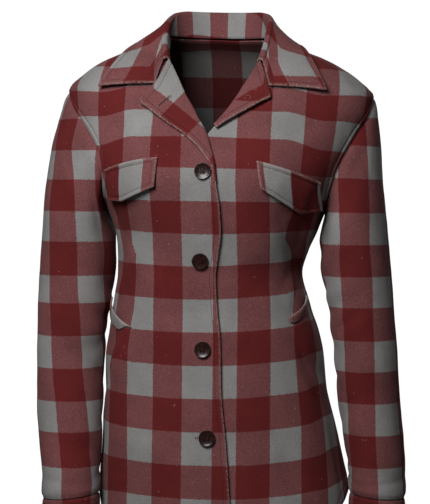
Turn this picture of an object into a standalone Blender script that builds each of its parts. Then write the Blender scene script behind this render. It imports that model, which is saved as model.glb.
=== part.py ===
"""Shirt-style wool jacket in its worn, hollow form: panels, sleeves, cuffs, collar,
turned-out lapels, chest flaps, slanted pocket welts and buttons.

The origin lies at the middle of the neck base, where the shoulders carry the jacket.
+Z points up, -Y to the front and +X to the wearer's left. All sizes are in millimetres
until the meshes are made, which turns them into metres.
"""
import math
from collections import namedtuple

import bmesh
import bpy
from mathutils import Vector

MM = 0.001

# Cloth thicknesses and seam gap
CLOTH = 2.2
FOLDED_CLOTH = 3.0
COLLAR_CLOTH = 3.4
SEAM_GAP = 0.35
TIP_GAP = 0.7

# Body of the jacket
NECK_Z = 17.0
SHOULDER_TIP_Z = -61.0
UNDERARM_Z = -228.0
CURVED_HEM_START_Z = -540.0
HEM_Z = -700.0
SIDE_HEM_Z = -628.0
SECTION_POWER = 2.3
BUST_RISE = 7.0
BUST_X = 84.0
BUST_Z = -188.0
BUST_WIDTH = 44.0
BUST_HEIGHT = 52.0
FRONT_ARMHOLE_REACH = {-1: 40.0, 1: 22.0}
BACK_ARMHOLE_REACH = {-1: 21.0, 1: 31.0}
ARMHOLE_ROUNDNESS = 0.6
ARMHOLE_SKEW = 1.3
ARMHOLE_FACING = (0.937, -0.348)
UNDER_FRONT_DEPTH = CLOTH + 0.5
UNDER_FRONT_BLEND = (32.0, 68.0)

# The shoulders lean down toward the wearer's left, and the lean fades out at the waist
LEAN_SLOPE = 0.0275
LEAN_DROOP = 0.0175
LEAN_ROUNDING = 60.0
LEAN_FADE = (-330.0, -110.0)

# Mesh density
FRONT_COLUMNS = 13
BACK_COLUMNS = 23
RING_POINTS = 26
SHOULDER_ROWS = (17.0, 11.0, 4.0, -5.0, -15.0, -28.0, -44.0)
LOWER_ROWS = (
    -243.0, -262.0, -285.0, -306.0, -326.0, -347.0, -370.0, -395.0, -422.0, -455.0,
    -495.0, -540.0, -590.0, -645.0, -700.0,
)

# Buttons
BUTTON_RADIUS = 11.5
BUTTON_THICKNESS = 4.2
BUTTON_RIM = 2.3
BUTTON_DISH = 1.3
BUTTON_HOLE_RADIUS = 1.1
BUTTON_HOLE_OFFSET = 2.1
BUTTON_SIDES = 24
BUTTON_SEAT_GAP = 0.45
BUTTON_SEAT_CHECKS = 12
BUTTON_HEIGHTS = (-177.0, -301.0, -424.0, -546.0)
CUFF_DEPTH = 62.0

Section = namedtuple("Section", "z half_width front back centre_x")
BODY_SECTIONS = (
    Section(17.0, 76.0, 5.0, 58.0, 0.0),
    Section(8.5, 100.0, 18.0, 70.0, 0.0),
    Section(0.0, 124.0, 31.0, 79.0, 0.0),
    Section(-9.0, 149.0, 44.0, 85.0, 1.0),
    Section(-20.0, 172.0, 57.0, 90.0, 1.0),
    Section(-37.0, 197.0, 73.0, 95.0, 2.0),
    Section(-61.0, 220.0, 89.0, 99.0, 2.0),
    Section(-85.0, 218.0, 102.0, 101.0, 2.0),
    Section(-110.0, 210.0, 113.0, 103.0, 0.0),
    Section(-139.0, 201.0, 124.0, 104.0, -2.0),
    Section(-174.0, 187.0, 131.0, 103.0, -4.0),
    Section(-195.0, 176.0, 132.0, 101.0, -4.0),
    Section(-228.0, 158.0, 129.0, 98.0, -3.0),
    Section(-256.0, 147.0, 124.0, 95.0, -3.0),
    Section(-290.0, 138.0, 117.0, 91.0, -8.0),
    Section(-323.0, 134.0, 112.0, 89.0, -13.0),
    Section(-370.0, 143.0, 112.0, 94.0, -11.0),
    Section(-408.0, 152.0, 115.0, 102.0, -7.0),
    Section(-443.0, 158.0, 118.0, 108.0, -6.0),
    Section(-485.0, 161.0, 121.0, 112.0, -5.0),
    Section(-555.0, 171.0, 127.0, 117.0, 2.0),
    Section(-625.0, 180.0, 133.0, 121.0, 7.0),
    Section(-700.0, 187.0, 138.0, 125.0, 11.0),
)

# Inner edge of each front, as the distance outward from the centre line at each height
NeckEdge = namedtuple("NeckEdge", "z upper_front under_front")
NECK_EDGES = (
    NeckEdge(17.0, 71.0, 71.0),
    NeckEdge(0.0, 70.0, 70.0),
    NeckEdge(-20.0, 65.0, 65.0),
    NeckEdge(-49.0, 49.0, 50.0),
    NeckEdge(-73.0, 36.0, 37.0),
    NeckEdge(-105.0, 15.0, 16.0),
    NeckEdge(-125.0, 1.0, 2.0),
    NeckEdge(-143.0, -6.0, -12.0),
    NeckEdge(-171.0, -14.0, -22.0),
    NeckEdge(-199.0, -19.0, -22.0),
    NeckEdge(-226.0, -21.5, -22.0),
    NeckEdge(-300.0, -23.5, -22.0),
    NeckEdge(-700.0, -26.0, -22.0),
)

# Long soft folds pressed into the body, from one point of the cloth to another
BodyFold = namedtuple("BodyFold", "side angle_a z_a angle_b z_b width depth")
BODY_FOLDS = (
    BodyFold(-1, 58.0, -398.0, 84.0, -505.0, 15.0, 7.0),
    BodyFold(-1, 40.0, -250.0, 74.0, -318.0, 20.0, 4.0),
    BodyFold(1, 42.0, -246.0, 78.0, -322.0, 20.0, 5.0),
    BodyFold(1, 60.0, -440.0, 82.0, -470.0, 13.0, 4.0),
    BodyFold(-1, 130.0, -215.0, 108.0, -300.0, 22.0, 6.0),
    BodyFold(1, 128.0, -205.0, 106.0, -292.0, 24.0, 6.0),
    BodyFold(-1, 165.0, -335.0, 118.0, -352.0, 16.0, 5.0),
    BodyFold(1, 160.0, -365.0, 112.0, -340.0, 15.0, 4.0),
)

# Sleeve rings: outer and inner ends of each ring in the front view, its middle and depth
SleeveRing = namedtuple("SleeveRing", "outer_x outer_z inner_x inner_z middle_y half_depth")
RIGHT_SLEEVE = (
    SleeveRing(222.0, -61.0, 161.0, -228.0, -8.0, 74.0),
    SleeveRing(231.0, -82.0, 161.5, -238.0, -9.0, 73.0),
    SleeveRing(243.0, -125.0, 156.5, -252.0, -9.0, 70.0),
    SleeveRing(251.5, -182.0, 151.5, -272.0, -9.0, 66.0),
    SleeveRing(257.0, -245.0, 152.0, -303.0, -9.0, 62.0),
    SleeveRing(261.0, -322.0, 157.5, -350.0, -9.0, 58.0),
    SleeveRing(262.5, -372.0, 162.5, -385.0, -8.0, 56.0),
    SleeveRing(262.5, -420.0, 167.0, -424.0, -12.0, 54.0),
    SleeveRing(261.5, -470.0, 170.0, -467.0, -19.0, 52.0),
    SleeveRing(258.5, -520.0, 170.0, -513.0, -31.0, 50.0),
    SleeveRing(252.5, -562.0, 168.0, -555.0, -45.0, 48.0),
    SleeveRing(245.5, -602.0, 165.0, -596.0, -62.0, 46.0),
    SleeveRing(242.0, -640.0, 162.0, -633.0, -78.0, 45.0),
)
LEFT_SLEEVE = (
    SleeveRing(222.0, -61.0, 161.0, -228.0, 6.0, 74.0),
    SleeveRing(227.5, -82.0, 159.0, -238.0, 6.0, 73.0),
    SleeveRing(233.0, -125.0, 152.0, -255.0, 5.0, 70.0),
    SleeveRing(237.0, -182.0, 147.0, -280.0, 3.0, 66.0),
    SleeveRing(241.5, -245.0, 147.0, -308.0, 1.0, 62.0),
    SleeveRing(249.0, -322.0, 154.5, -350.0, -1.0, 58.0),
    SleeveRing(253.0, -372.0, 159.0, -385.0, -2.0, 56.0),
    SleeveRing(256.5, -420.0, 164.0, -428.0, -3.0, 54.0),
    SleeveRing(260.0, -470.0, 170.0, -475.0, -4.0, 52.0),
    SleeveRing(264.0, -520.0, 176.0, -523.0, -5.0, 50.0),
    SleeveRing(267.5, -562.0, 182.0, -565.0, -7.0, 48.0),
    SleeveRing(269.5, -602.0, 187.0, -600.0, -9.0, 46.0),
    SleeveRing(269.0, -641.0, 190.5, -634.0, -11.0, 45.0),
)

# Folds across the sleeves: position down the sleeve (0 to 1), angle round it, extents
SleeveFold = namedtuple("SleeveFold", "side along angle length span depth slant")
SLEEVE_FOLDS = (
    SleeveFold(-1, 0.50, 150.0, 0.035, 60.0, 4.0, 0.03),
    SleeveFold(-1, 0.60, 120.0, 0.030, 55.0, 3.5, -0.03),
    SleeveFold(1, 0.47, 140.0, 0.035, 60.0, 4.0, 0.03),
    SleeveFold(1, 0.58, 165.0, 0.030, 50.0, 3.5, -0.02),
    SleeveFold(-1, 0.30, 100.0, 0.040, 50.0, 3.0, 0.05),
    SleeveFold(1, 0.33, 215.0, 0.040, 55.0, 4.0, 0.04),
    SleeveFold(-1, 0.48, 220.0, 0.035, 55.0, 4.0, -0.03),
)

# Collar stations from the centre back to the front end: seam, roll line and leaf edge
CollarStation = namedtuple(
    "CollarStation", "seam_x seam_y seam_z roll_x roll_y roll_z edge_x edge_y edge_z lift"
)
COLLAR_STATIONS = (
    CollarStation(0.0, 57.0, 19.5, 0.0, 61.0, 54.0, 0.0, 93.0, -14.0, 0.0),
    CollarStation(24.0, 54.5, 19.5, 25.0, 58.0, 54.0, 36.0, 90.0, -13.5, 0.0),
    CollarStation(46.0, 46.0, 19.5, 48.0, 48.5, 54.0, 70.0, 82.0, -11.5, 0.0),
    CollarStation(63.0, 31.0, 19.5, 65.0, 31.0, 50.0, 93.0, 62.0, -6.0, 0.0),
    CollarStation(71.5, 14.0, 19.5, 71.0, 13.0, 41.5, 110.0, 34.0, 2.0, 0.0),
    CollarStation(72.0, 0.0, 19.5, 72.0, -2.0, 34.5, 120.0, 4.0, 5.5, 0.0),
    CollarStation(69.5, -13.0, 12.0, 71.5, -16.0, 25.0, 130.0, -22.0, -4.0, 0.5),
    CollarStation(68.0, -27.0, 2.5, 70.5, -31.0, 12.0, 140.0, -42.0, -23.0, 1.5),
    CollarStation(66.0, -43.0, -8.0, 68.5, -46.0, -3.0, 150.5, -58.0, -43.0, 3.0),
    CollarStation(63.0, -56.0, -19.5, 65.5, -59.5, -17.5, 159.5, -70.0, -60.0, 5.0),
)
COLLAR_REST = 2.0
COLLAR_ROLL_RADIUS = 3.4
COLLAR_LEAF_STEPS = 7
NOTCH_X = 80.0
NOTCH_Z = -57.0
NOTCH_LIFT = 5.0

# Lapel rows, outward from the centre line: fold line and free edge
LapelRow = namedtuple("LapelRow", "fold_x fold_z edge_x edge_z")
RIGHT_LAPEL = (
    LapelRow(65.0, -21.5, 79.0, -59.5),
    LapelRow(57.5, -35.5, 98.0, -82.0),
    LapelRow(49.5, -49.5, 87.0, -91.0),
    LapelRow(43.0, -61.5, 76.0, -99.0),
    LapelRow(36.5, -73.5, 64.5, -106.5),
    LapelRow(26.0, -89.5, 53.0, -114.0),
    LapelRow(15.5, -105.5, 41.0, -121.0),
    LapelRow(6.0, -118.5, 27.5, -129.5),
    LapelRow(-1.5, -131.5, 10.0, -143.5),
    LapelRow(-8.0, -148.5, -1.5, -156.0),
    LapelRow(-15.5, -169.0, -12.6, -171.0),
    LapelRow(-18.5, -192.0, -15.8, -194.0),
)
LEFT_LAPEL = (
    LapelRow(65.0, -21.5, 79.0, -59.5),
    LapelRow(58.0, -35.0, 82.5, -72.0),
    LapelRow(50.5, -49.5, 70.0, -80.0),
    LapelRow(44.0, -61.0, 57.0, -88.0),
    LapelRow(37.5, -73.0, 45.5, -95.0),
    LapelRow(27.5, -89.5, 33.5, -102.5),
    LapelRow(17.5, -104.5, 21.5, -110.5),
    LapelRow(10.5, -113.0, 13.5, -116.5),
)
LAPEL_COLUMNS = 5
LAPEL_REST = 0.5
LAPEL_LIFT = 3.5

# Chest flaps: corners outward from the middle, upper and lower
Flap = namedtuple("Flap", "side inner_top outer_top inner_low outer_low point")
FLAPS = (
    Flap(-1, (63.5, -160.0), (142.5, -176.5), (65.5, -198.0), (139.0, -215.0), (112.0, -216.5)),
    Flap(1, (73.5, -162.0), (155.0, -188.0), (77.0, -197.5), (150.5, -226.5), (124.5, -231.0)),
)
FLAP_COLUMNS = 8
FLAP_ROWS = 5
FLAP_REST = 0.6
FLAP_LIFT = 5.0

# Slanted welts at the hips: angle round the body and height of both ends
Welt = namedtuple("Welt", "side front_angle front_z side_angle side_z")
WELTS = (
    Welt(-1, 42.0, -386.0, 79.0, -358.0),
    Welt(1, 52.0, -374.0, 85.0, -350.0),
)
WELT_WIDTH = 11.0
WELT_COLUMNS = 8
WELT_ROWS = 3
WELT_REST = 0.5
WELT_LIFT = 2.2

WOOL_RED = (0.125, 0.019, 0.020, 1.0)
WOOL_GREY = (0.205, 0.200, 0.183, 1.0)
WOOL_MIXED = (0.157, 0.058, 0.058, 1.0)
HORN_BROWN = (0.020, 0.009, 0.008, 1.0)


def clear_scene():
    """Remove every object that the scene holds."""
    for item in list(bpy.data.objects):
        bpy.data.objects.remove(item)


def material(name, colour, roughness):
    """Make a plain non-metallic material."""
    made = bpy.data.materials.new(name)
    made.use_nodes = True
    shader = made.node_tree.nodes["Principled BSDF"]
    shader.inputs["Base Color"].default_value = colour
    shader.inputs["Roughness"].default_value = roughness
    shader.inputs["Metallic"].default_value = 0.0
    made.diffuse_color = colour
    return made


def read_table(rows, column, z):
    """Read a column at height z with a smooth curve that never overshoots its rows."""
    ordered = sorted(rows, key=lambda row: row.z)
    heights = [row.z for row in ordered]
    values = [getattr(row, column) for row in ordered]
    if z <= heights[0]:
        return values[0]
    if z >= heights[-1]:
        return values[-1]
    low = max(i for i in range(len(heights) - 1) if heights[i] <= z)
    slopes = [
        (values[i + 1] - values[i]) / (heights[i + 1] - heights[i])
        for i in range(len(heights) - 1)
    ]

    def tangent(i):
        if i == 0 or i == len(heights) - 1:
            return slopes[min(i, len(slopes) - 1)]
        before = slopes[i - 1]
        after = slopes[i]
        if before * after <= 0.0:
            return 0.0
        return 2.0 * before * after / (before + after)

    span = heights[low + 1] - heights[low]
    t = (z - heights[low]) / span
    t2 = t * t
    t3 = t2 * t
    return (
        (2.0 * t3 - 3.0 * t2 + 1.0) * values[low]
        + (t3 - 2.0 * t2 + t) * span * tangent(low)
        + (3.0 * t2 - 2.0 * t3) * values[low + 1]
        + (t3 - t2) * span * tangent(low + 1)
    )


def smooth_step(low, high, value):
    """Rise smoothly from 0 at low to 1 at high."""
    t = min(max((value - low) / (high - low), 0.0), 1.0)
    return t * t * (3.0 - 2.0 * t)


def lean(point):
    """Lower the wearer's left shoulder and raise the other, as the jacket is worn."""
    strength = smooth_step(*LEAN_FADE, point.z)
    droop = math.hypot(point.x, LEAN_ROUNDING) - LEAN_ROUNDING
    drop = LEAN_SLOPE * point.x + LEAN_DROOP * droop
    return Vector((point.x, point.y, point.z - strength * drop))


def fold_relief(side, angle, z):
    """Depth of the long folds at one place of the body, negative inward."""
    radius = read_table(BODY_SECTIONS, "half_width", z)
    total = 0.0
    for fold in BODY_FOLDS:
        if fold.side != side:
            continue
        ax = math.radians(fold.angle_a) * radius
        bx = math.radians(fold.angle_b) * radius
        px = math.radians(angle) * radius
        run_x = bx - ax
        run_z = fold.z_b - fold.z_a
        length_sq = run_x * run_x + run_z * run_z
        t = ((px - ax) * run_x + (z - fold.z_a) * run_z) / length_sq
        near = min(max(t, 0.0), 1.0)
        away = math.hypot(px - ax - near * run_x, z - fold.z_a - near * run_z)
        fade = math.sin(math.pi * min(max(0.15 + 0.7 * near, 0.0), 1.0))
        total -= fold.depth * fade * math.exp(-((away / fold.width) ** 2))
    return total


def bust_relief(x, z):
    """Rise of the chest over a plain rounded section."""
    across = (abs(x) - BUST_X) / BUST_WIDTH
    down = (z - BUST_Z) / BUST_HEIGHT
    return BUST_RISE * math.exp(-across * across - down * down)


def body_point(angle, z, offset=0.0):
    """Point of the body's outer surface.

    The angle runs from 0 at the centre front to 180 at the centre back, positive
    toward +X, and offset moves the point out along the section's own normal.
    """
    side = 1 if angle >= 0.0 else -1
    turn = math.radians(abs(angle))
    power = 2.0 / SECTION_POWER
    half_width = read_table(BODY_SECTIONS, "half_width", z)
    front = abs(angle) <= 90.0
    depth = read_table(BODY_SECTIONS, "front" if front else "back", z)
    across = abs(math.sin(turn)) ** power
    along = abs(math.cos(turn)) ** power
    facing = -1.0 if front else 1.0
    x = side * half_width * across
    y = facing * depth * along
    normal = Vector((
        side * across ** (SECTION_POWER - 1.0) / half_width,
        facing * along ** (SECTION_POWER - 1.0) / depth,
        0.0,
    )).normalized()
    rise = offset + fold_relief(side, abs(angle), z)
    if front:
        rise += bust_relief(x, z)
    point = Vector((x + read_table(BODY_SECTIONS, "centre_x", z), y, z))
    return point + normal * rise


def angle_at(x, z):
    """Angle round the body of a place on the front, x from the centre line."""
    half_width = read_table(BODY_SECTIONS, "half_width", z)
    ratio = min(abs(x) / half_width, 1.0) ** (SECTION_POWER / 2.0)
    return math.copysign(math.degrees(math.asin(ratio)), x)


def body_normal(angle, z):
    """Outward normal of the body's surface."""
    step = 0.5
    round_run = body_point(angle + step, z) - body_point(angle - step, z)
    up_run = body_point(angle, z + step) - body_point(angle, z - step)
    normal = round_run.cross(up_run).normalized()
    outward = body_point(angle, z) - Vector((0.0, 0.0, z))
    return normal if normal.dot(outward) > 0.0 else -normal


def on_front(x, z, rise):
    """Point that stands off the front by the rise, x from the centre line."""
    angle = angle_at(x, z)
    return body_point(angle, z) + body_normal(angle, z) * rise


def armhole_opening(z, reach):
    """Angle by which the armhole's edge lies forward or back of the side."""
    down = (SHOULDER_TIP_Z - z) / (SHOULDER_TIP_Z - UNDERARM_Z)
    if down <= 0.0 or down >= 1.0:
        return 0.0
    return reach * math.sin(math.pi * down ** ARMHOLE_SKEW) ** ARMHOLE_ROUNDNESS


def body_rows():
    """Heights of the body's rows, those along the armhole as in the sleeve's first ring."""
    along_armhole = [armhole_height(k) for k in range(RING_POINTS // 2 + 1)]
    return list(SHOULDER_ROWS) + along_armhole + list(LOWER_ROWS)


def armhole_height(step):
    """Height of the armhole's seam after a number of steps from the shoulder tip."""
    turn = 2.0 * math.pi * step / RING_POINTS
    return SHOULDER_TIP_Z + (UNDERARM_Z - SHOULDER_TIP_Z) * (1.0 - math.cos(turn)) / 2.0


def hem_height(angle, z):
    """Height of a row once the hem rises toward the side seam."""
    if z >= CURVED_HEM_START_Z:
        return z
    off_side = min(abs(abs(angle) - 90.0) / 52.0, 1.0)
    hem = SIDE_HEM_Z + (HEM_Z - SIDE_HEM_Z) * smooth_step(0.0, 1.0, off_side)
    share = (z - CURVED_HEM_START_Z) / (HEM_Z - CURVED_HEM_START_Z)
    return CURVED_HEM_START_Z + share * (hem - CURVED_HEM_START_Z)


def grid_normals(grid, wraps, inside):
    """Normals of a grid of points, turned away from the inside point."""
    rows = len(grid)
    columns = len(grid[0])
    normals = []
    for i in range(rows):
        line = []
        for j in range(columns):
            if wraps:
                after = grid[i][(j + 1) % columns]
                before = grid[i][(j - 1) % columns]
            else:
                after = grid[i][min(j + 1, columns - 1)]
                before = grid[i][max(j - 1, 0)]
            below = grid[min(i + 1, rows - 1)][j]
            above = grid[max(i - 1, 0)][j]
            line.append((after - before).cross(below - above).normalized())
        normals.append(line)
    middle = grid[rows // 2][columns // 2]
    if normals[rows // 2][columns // 2].dot(middle - inside) < 0.0:
        normals = [[-normal for normal in line] for line in normals]
    return normals


def closed_wall(name, outer, inner, finish, wraps=False):
    """Make one closed wall between an outer and an inner grid of points."""
    work = bmesh.new()
    rows = len(outer)
    columns = len(outer[0])
    skins = []
    for grid in (outer, inner):
        skins.append([[work.verts.new(lean(point) * MM) for point in line] for line in grid])
    out, core = skins
    reach = columns if wraps else columns - 1
    for i in range(rows - 1):
        for j in range(reach):
            k = (j + 1) % columns
            work.faces.new((out[i][j], out[i][k], out[i + 1][k], out[i + 1][j]))
            work.faces.new((core[i][j], core[i + 1][j], core[i + 1][k], core[i][k]))
    for j in range(reach):
        k = (j + 1) % columns
        work.faces.new((out[0][j], core[0][j], core[0][k], out[0][k]))
        work.faces.new((out[-1][j], out[-1][k], core[-1][k], core[-1][j]))
    if not wraps:
        for i in range(rows - 1):
            work.faces.new((out[i][0], out[i + 1][0], core[i + 1][0], core[i][0]))
            work.faces.new((out[i][-1], core[i][-1], core[i + 1][-1], out[i + 1][-1]))
    bmesh.ops.recalc_face_normals(work, faces=work.faces)
    bmesh.ops.triangulate(work, faces=work.faces)
    mesh = bpy.data.meshes.new(name)
    work.to_mesh(mesh)
    work.free()
    mesh.shade_smooth()
    mesh.set_sharp_from_angle(angle=math.radians(50.0))
    mesh.materials.append(finish)
    made = bpy.data.objects.new(name, mesh)
    bpy.context.scene.collection.objects.link(made)
    return made


def inner_grid(outer, thickness, inside, wraps=False):
    """Move every point of a grid inward by the cloth's thickness."""
    normals = grid_normals(outer, wraps, inside)
    return [
        [point - normal * thickness for point, normal in zip(line, turned)]
        for line, turned in zip(outer, normals)
    ]


def front_rows(side, edge_column, sunk):
    """Outer points of one front, from its inner edge to the side or armhole."""
    grid = []
    for row_z in body_rows():
        end = 90.0 - armhole_opening(row_z, FRONT_ARMHOLE_REACH[side])
        start = angle_at(read_table(NECK_EDGES, edge_column, row_z), row_z)
        line = []
        for j in range(FRONT_COLUMNS):
            angle = start + (end - start) * j / (FRONT_COLUMNS - 1)
            z = hem_height(angle, row_z)
            point = body_point(side * angle, z)
            if sunk:
                centre = read_table(BODY_SECTIONS, "centre_x", z)
                reach = smooth_step(*UNDER_FRONT_BLEND, side * (point.x - centre))
                depth = UNDER_FRONT_DEPTH * (1.0 - reach)
                point = body_point(side * angle, z, -depth)
            if j == FRONT_COLUMNS - 1:
                point.y -= SEAM_GAP / 2.0
            line.append(point)
        grid.append(line)
    return grid


def back_rows():
    """Outer points of the back, from one side round to the other."""
    grid = []
    for row_z in body_rows():
        start = 90.0 + armhole_opening(row_z, BACK_ARMHOLE_REACH[1])
        end = 270.0 - armhole_opening(row_z, BACK_ARMHOLE_REACH[-1])
        line = []
        for j in range(BACK_COLUMNS):
            angle = start + (end - start) * j / (BACK_COLUMNS - 1)
            signed = angle if angle <= 180.0 else angle - 360.0
            point = body_point(signed, hem_height(signed, row_z))
            if j in (0, BACK_COLUMNS - 1):
                point.y += SEAM_GAP / 2.0
            line.append(point)
        grid.append(line)
    return grid


def make_body(finishes):
    """Make both fronts and the back."""
    upper = front_rows(-1, "upper_front", False)
    under = front_rows(1, "under_front", True)
    back = back_rows()
    heights = body_rows()
    seam_rows = [i for i, z in enumerate(heights) if not UNDERARM_Z < z < SHOULDER_TIP_Z]
    made = []
    for name, outer, columns, finish in (
        ("front_right", upper, (-1,), finishes["red"]),
        ("front_left", under, (-1,), finishes["mixed"]),
        ("back", back, (0, -1), finishes["grey"]),
    ):
        inner = inner_grid(outer, CLOTH, Vector((0.0, 0.0, -400.0)))
        for i in seam_rows:
            for column in columns:
                inner[i][column].y = outer[i][column].y
        made.append(closed_wall(name, outer, inner, finish))
    return made


def armhole_point(side, turn):
    """Point of the armhole's seam, the turn going from the top through the front."""
    z = SHOULDER_TIP_Z + (UNDERARM_Z - SHOULDER_TIP_Z) * (1.0 - math.cos(turn)) / 2.0
    if math.sin(turn) >= 0.0:
        angle = 90.0 - armhole_opening(z, FRONT_ARMHOLE_REACH[side])
    else:
        angle = 90.0 + armhole_opening(z, BACK_ARMHOLE_REACH[side])
    return body_point(side * angle, z)


def ring_point(side, ring, turn):
    """Point of a plain sleeve ring."""
    middle_x = (ring.outer_x + ring.inner_x) / 2.0
    middle_z = (ring.outer_z + ring.inner_z) / 2.0
    reach_x = (ring.outer_x - ring.inner_x) / 2.0
    reach_z = (ring.outer_z - ring.inner_z) / 2.0
    return Vector((
        side * (middle_x + reach_x * math.cos(turn)),
        ring.middle_y - ring.half_depth * math.sin(turn),
        middle_z + reach_z * math.cos(turn),
    ))


def sleeve_relief(side, along, turn):
    """Depth of the folds across a sleeve, negative inward."""
    total = 0.0
    angle = math.degrees(turn) % 360.0
    for fold in SLEEVE_FOLDS:
        if fold.side != side:
            continue
        off_angle = (angle - fold.angle + 180.0) % 360.0 - 180.0
        round_share = off_angle / fold.span
        down_share = (along - fold.along - fold.slant * round_share) / fold.length
        total -= fold.depth * math.exp(-(round_share ** 2) - down_share ** 2)
    return total


def make_sleeve(side, name, rings, finish):
    """Make one sleeve as a wall lofted from the armhole down to the cuff seam."""
    count = len(rings)
    grid = []
    for i, ring in enumerate(rings):
        keep = (1.0 - smooth_step(0.0, 4.0, float(i))) if i < 4 else 0.0
        line = []
        middle = Vector((side * (ring.outer_x + ring.inner_x) / 2.0, ring.middle_y,
                         (ring.outer_z + ring.inner_z) / 2.0))
        for j in range(RING_POINTS):
            turn = 2.0 * math.pi * j / RING_POINTS
            point = ring_point(side, ring, turn)
            first = ring_point(side, rings[0], turn)
            point += (armhole_point(side, turn) - first) * keep
            inward = (middle - point).normalized()
            point -= inward * sleeve_relief(side, i / (count - 1), turn)
            if i == 0:
                gap = SEAM_GAP + TIP_GAP * max(math.cos(turn), 0.0) ** 6
                point += Vector((side * ARMHOLE_FACING[0], 0.0, ARMHOLE_FACING[1])) * gap
            line.append(point)
        grid.append(line)
    centre = Vector((side * 210.0, -8.0, -420.0))
    inner = inner_grid(grid, CLOTH, centre, wraps=True)
    for j in range(RING_POINTS):
        turn = 2.0 * math.pi * j / RING_POINTS
        share = max(math.cos(turn), 0.0) ** 0.5
        point = armhole_point(side, turn)
        angle = 90.0 * side
        shared = body_normal(angle, SHOULDER_TIP_Z + 4.0)
        own = (grid[0][j] - inner[0][j]).normalized()
        direction = (shared * share + own * (1.0 - share)).normalized()
        inner[0][j] = grid[0][j] - direction * CLOTH
        inner[-1][j].z = grid[-1][j].z
    return closed_wall(name, grid, inner, finish, wraps=True)


def make_cuff(side, name, last_ring, finish):
    """Make one band cuff below its sleeve."""
    grid = []
    for share, swell in ((0.0, -0.6), (0.12, 0.9), (0.5, 1.2), (0.88, 0.8), (1.0, 0.2)):
        drop = SEAM_GAP + share * CUFF_DEPTH
        line = []
        for j in range(RING_POINTS):
            turn = 2.0 * math.pi * j / RING_POINTS
            point = ring_point(side, last_ring, turn)
            middle = Vector((side * (last_ring.outer_x + last_ring.inner_x) / 2.0,
                             last_ring.middle_y, point.z))
            point += (point - middle).normalized() * swell
            point.z -= drop
            point.y -= share * 6.0
            line.append(point)
        grid.append(line)
    middle_x = side * (last_ring.outer_x + last_ring.inner_x) / 2.0
    centre = Vector((middle_x, last_ring.middle_y, last_ring.outer_z - 30.0))
    inner = inner_grid(grid, FOLDED_CLOTH, centre, wraps=True)
    for i in (0, -1):
        for j in range(RING_POINTS):
            inner[i][j].z = grid[i][j].z
    return closed_wall(name, grid, inner, finish, wraps=True)


def keep_clear(point, distance):
    """Push a point outward until it is at least the distance off the body."""
    if point.z > NECK_Z:
        return point
    half_width = read_table(BODY_SECTIONS, "half_width", point.z)
    centre = read_table(BODY_SECTIONS, "centre_x", point.z)
    depth = read_table(BODY_SECTIONS, "front" if point.y < 0.0 else "back", point.z)
    across = min(abs(point.x - centre) / half_width, 1.0)
    along = abs(point.y) / depth
    angle = math.degrees(math.atan2(
        across ** (SECTION_POWER / 2.0), along ** (SECTION_POWER / 2.0)
    ))
    if point.y > 0.0:
        angle = 180.0 - angle
    angle = math.copysign(angle, point.x if abs(point.x) > 0.01 else 1.0)
    surface = body_point(angle, point.z)
    normal = body_normal(angle, point.z)
    away = (point - surface).dot(normal)
    if away < distance:
        point = point + normal * (distance - away)
    return point


def collar_profile(station, side, ends):
    """Middle line of the collar at one station: stand, roll and leaf."""
    seam = Vector((side * station.seam_x, station.seam_y, station.seam_z))
    roll = Vector((side * station.roll_x, station.roll_y, station.roll_z))
    edge = Vector((side * station.edge_x, station.edge_y, station.edge_z))
    rise = (roll - seam).normalized()
    fall = (edge - roll).normalized()
    outward = (fall - rise * fall.dot(rise)).normalized()
    radius = COLLAR_ROLL_RADIUS
    hub = roll + outward * radius
    line = [seam.lerp(roll, share) for share in (0.0, 0.5, 1.0)]
    for turn in (50.0, 90.0, 140.0):
        swing = math.radians(turn)
        line.append(hub - outward * radius * math.cos(swing) + rise * radius * math.sin(swing))
    start = line[-1]
    for k in range(1, COLLAR_LEAF_STEPS + 1):
        share = k / COLLAR_LEAF_STEPS
        point = start.lerp(edge, share)
        if ends > 0.0:
            notch = on_front(side * NOTCH_X, NOTCH_Z, NOTCH_LIFT)
            bend = 0.3
            if share < bend:
                bent = start.lerp(notch, share / bend)
            else:
                bent = notch.lerp(edge, (share - bend) / (1.0 - bend))
            point = point.lerp(bent, ends)
        point = keep_clear(point, COLLAR_CLOTH / 2.0 + COLLAR_REST + station.lift * share)
        line.append(point)
    return line


def make_collar(finish):
    """Make the turned-down collar as one wall round the neck."""
    stations = [(station, -1) for station in reversed(COLLAR_STATIONS)]
    stations += [(station, 1) for station in COLLAR_STATIONS[1:]]
    last = len(COLLAR_STATIONS) - 1
    grid = []
    for station, side in stations:
        place = COLLAR_STATIONS.index(station)
        ends = {last: 1.0, last - 1: 0.62, last - 2: 0.22}.get(place, 0.0)
        grid.append(collar_profile(station, side, ends))
    normals = grid_normals(grid, False, Vector((0.0, 0.0, -30.0)))
    half = COLLAR_CLOTH / 2.0
    outer = []
    inner = []
    for line, turned in zip(grid, normals):
        outer.append([point + normal * half for point, normal in zip(line, turned)])
        inner.append([point - normal * half for point, normal in zip(line, turned)])
    return closed_wall("collar", outer, inner, finish)


def make_lapel(side, name, rows, finish):
    """Make one turned-out lapel lying on its front."""
    outer = []
    inner = []
    for i, row in enumerate(rows):
        lifted = LAPEL_LIFT * math.sin(math.pi * min(1.0, 0.25 + 0.75 * i / (len(rows) - 1)))
        top = []
        base = []
        for j in range(LAPEL_COLUMNS):
            share = j / (LAPEL_COLUMNS - 1)
            x = row.fold_x + (row.edge_x - row.fold_x) * share
            z = row.fold_z + (row.edge_z - row.fold_z) * share
            rest = LAPEL_REST + lifted * math.sin(math.pi * 0.5 * share) ** 0.8
            base.append(on_front(side * x, z, rest))
            top.append(on_front(side * x, z, rest + FOLDED_CLOTH))
        outer.append(top)
        inner.append(base)
    return closed_wall(name, outer, inner, finish)


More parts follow.
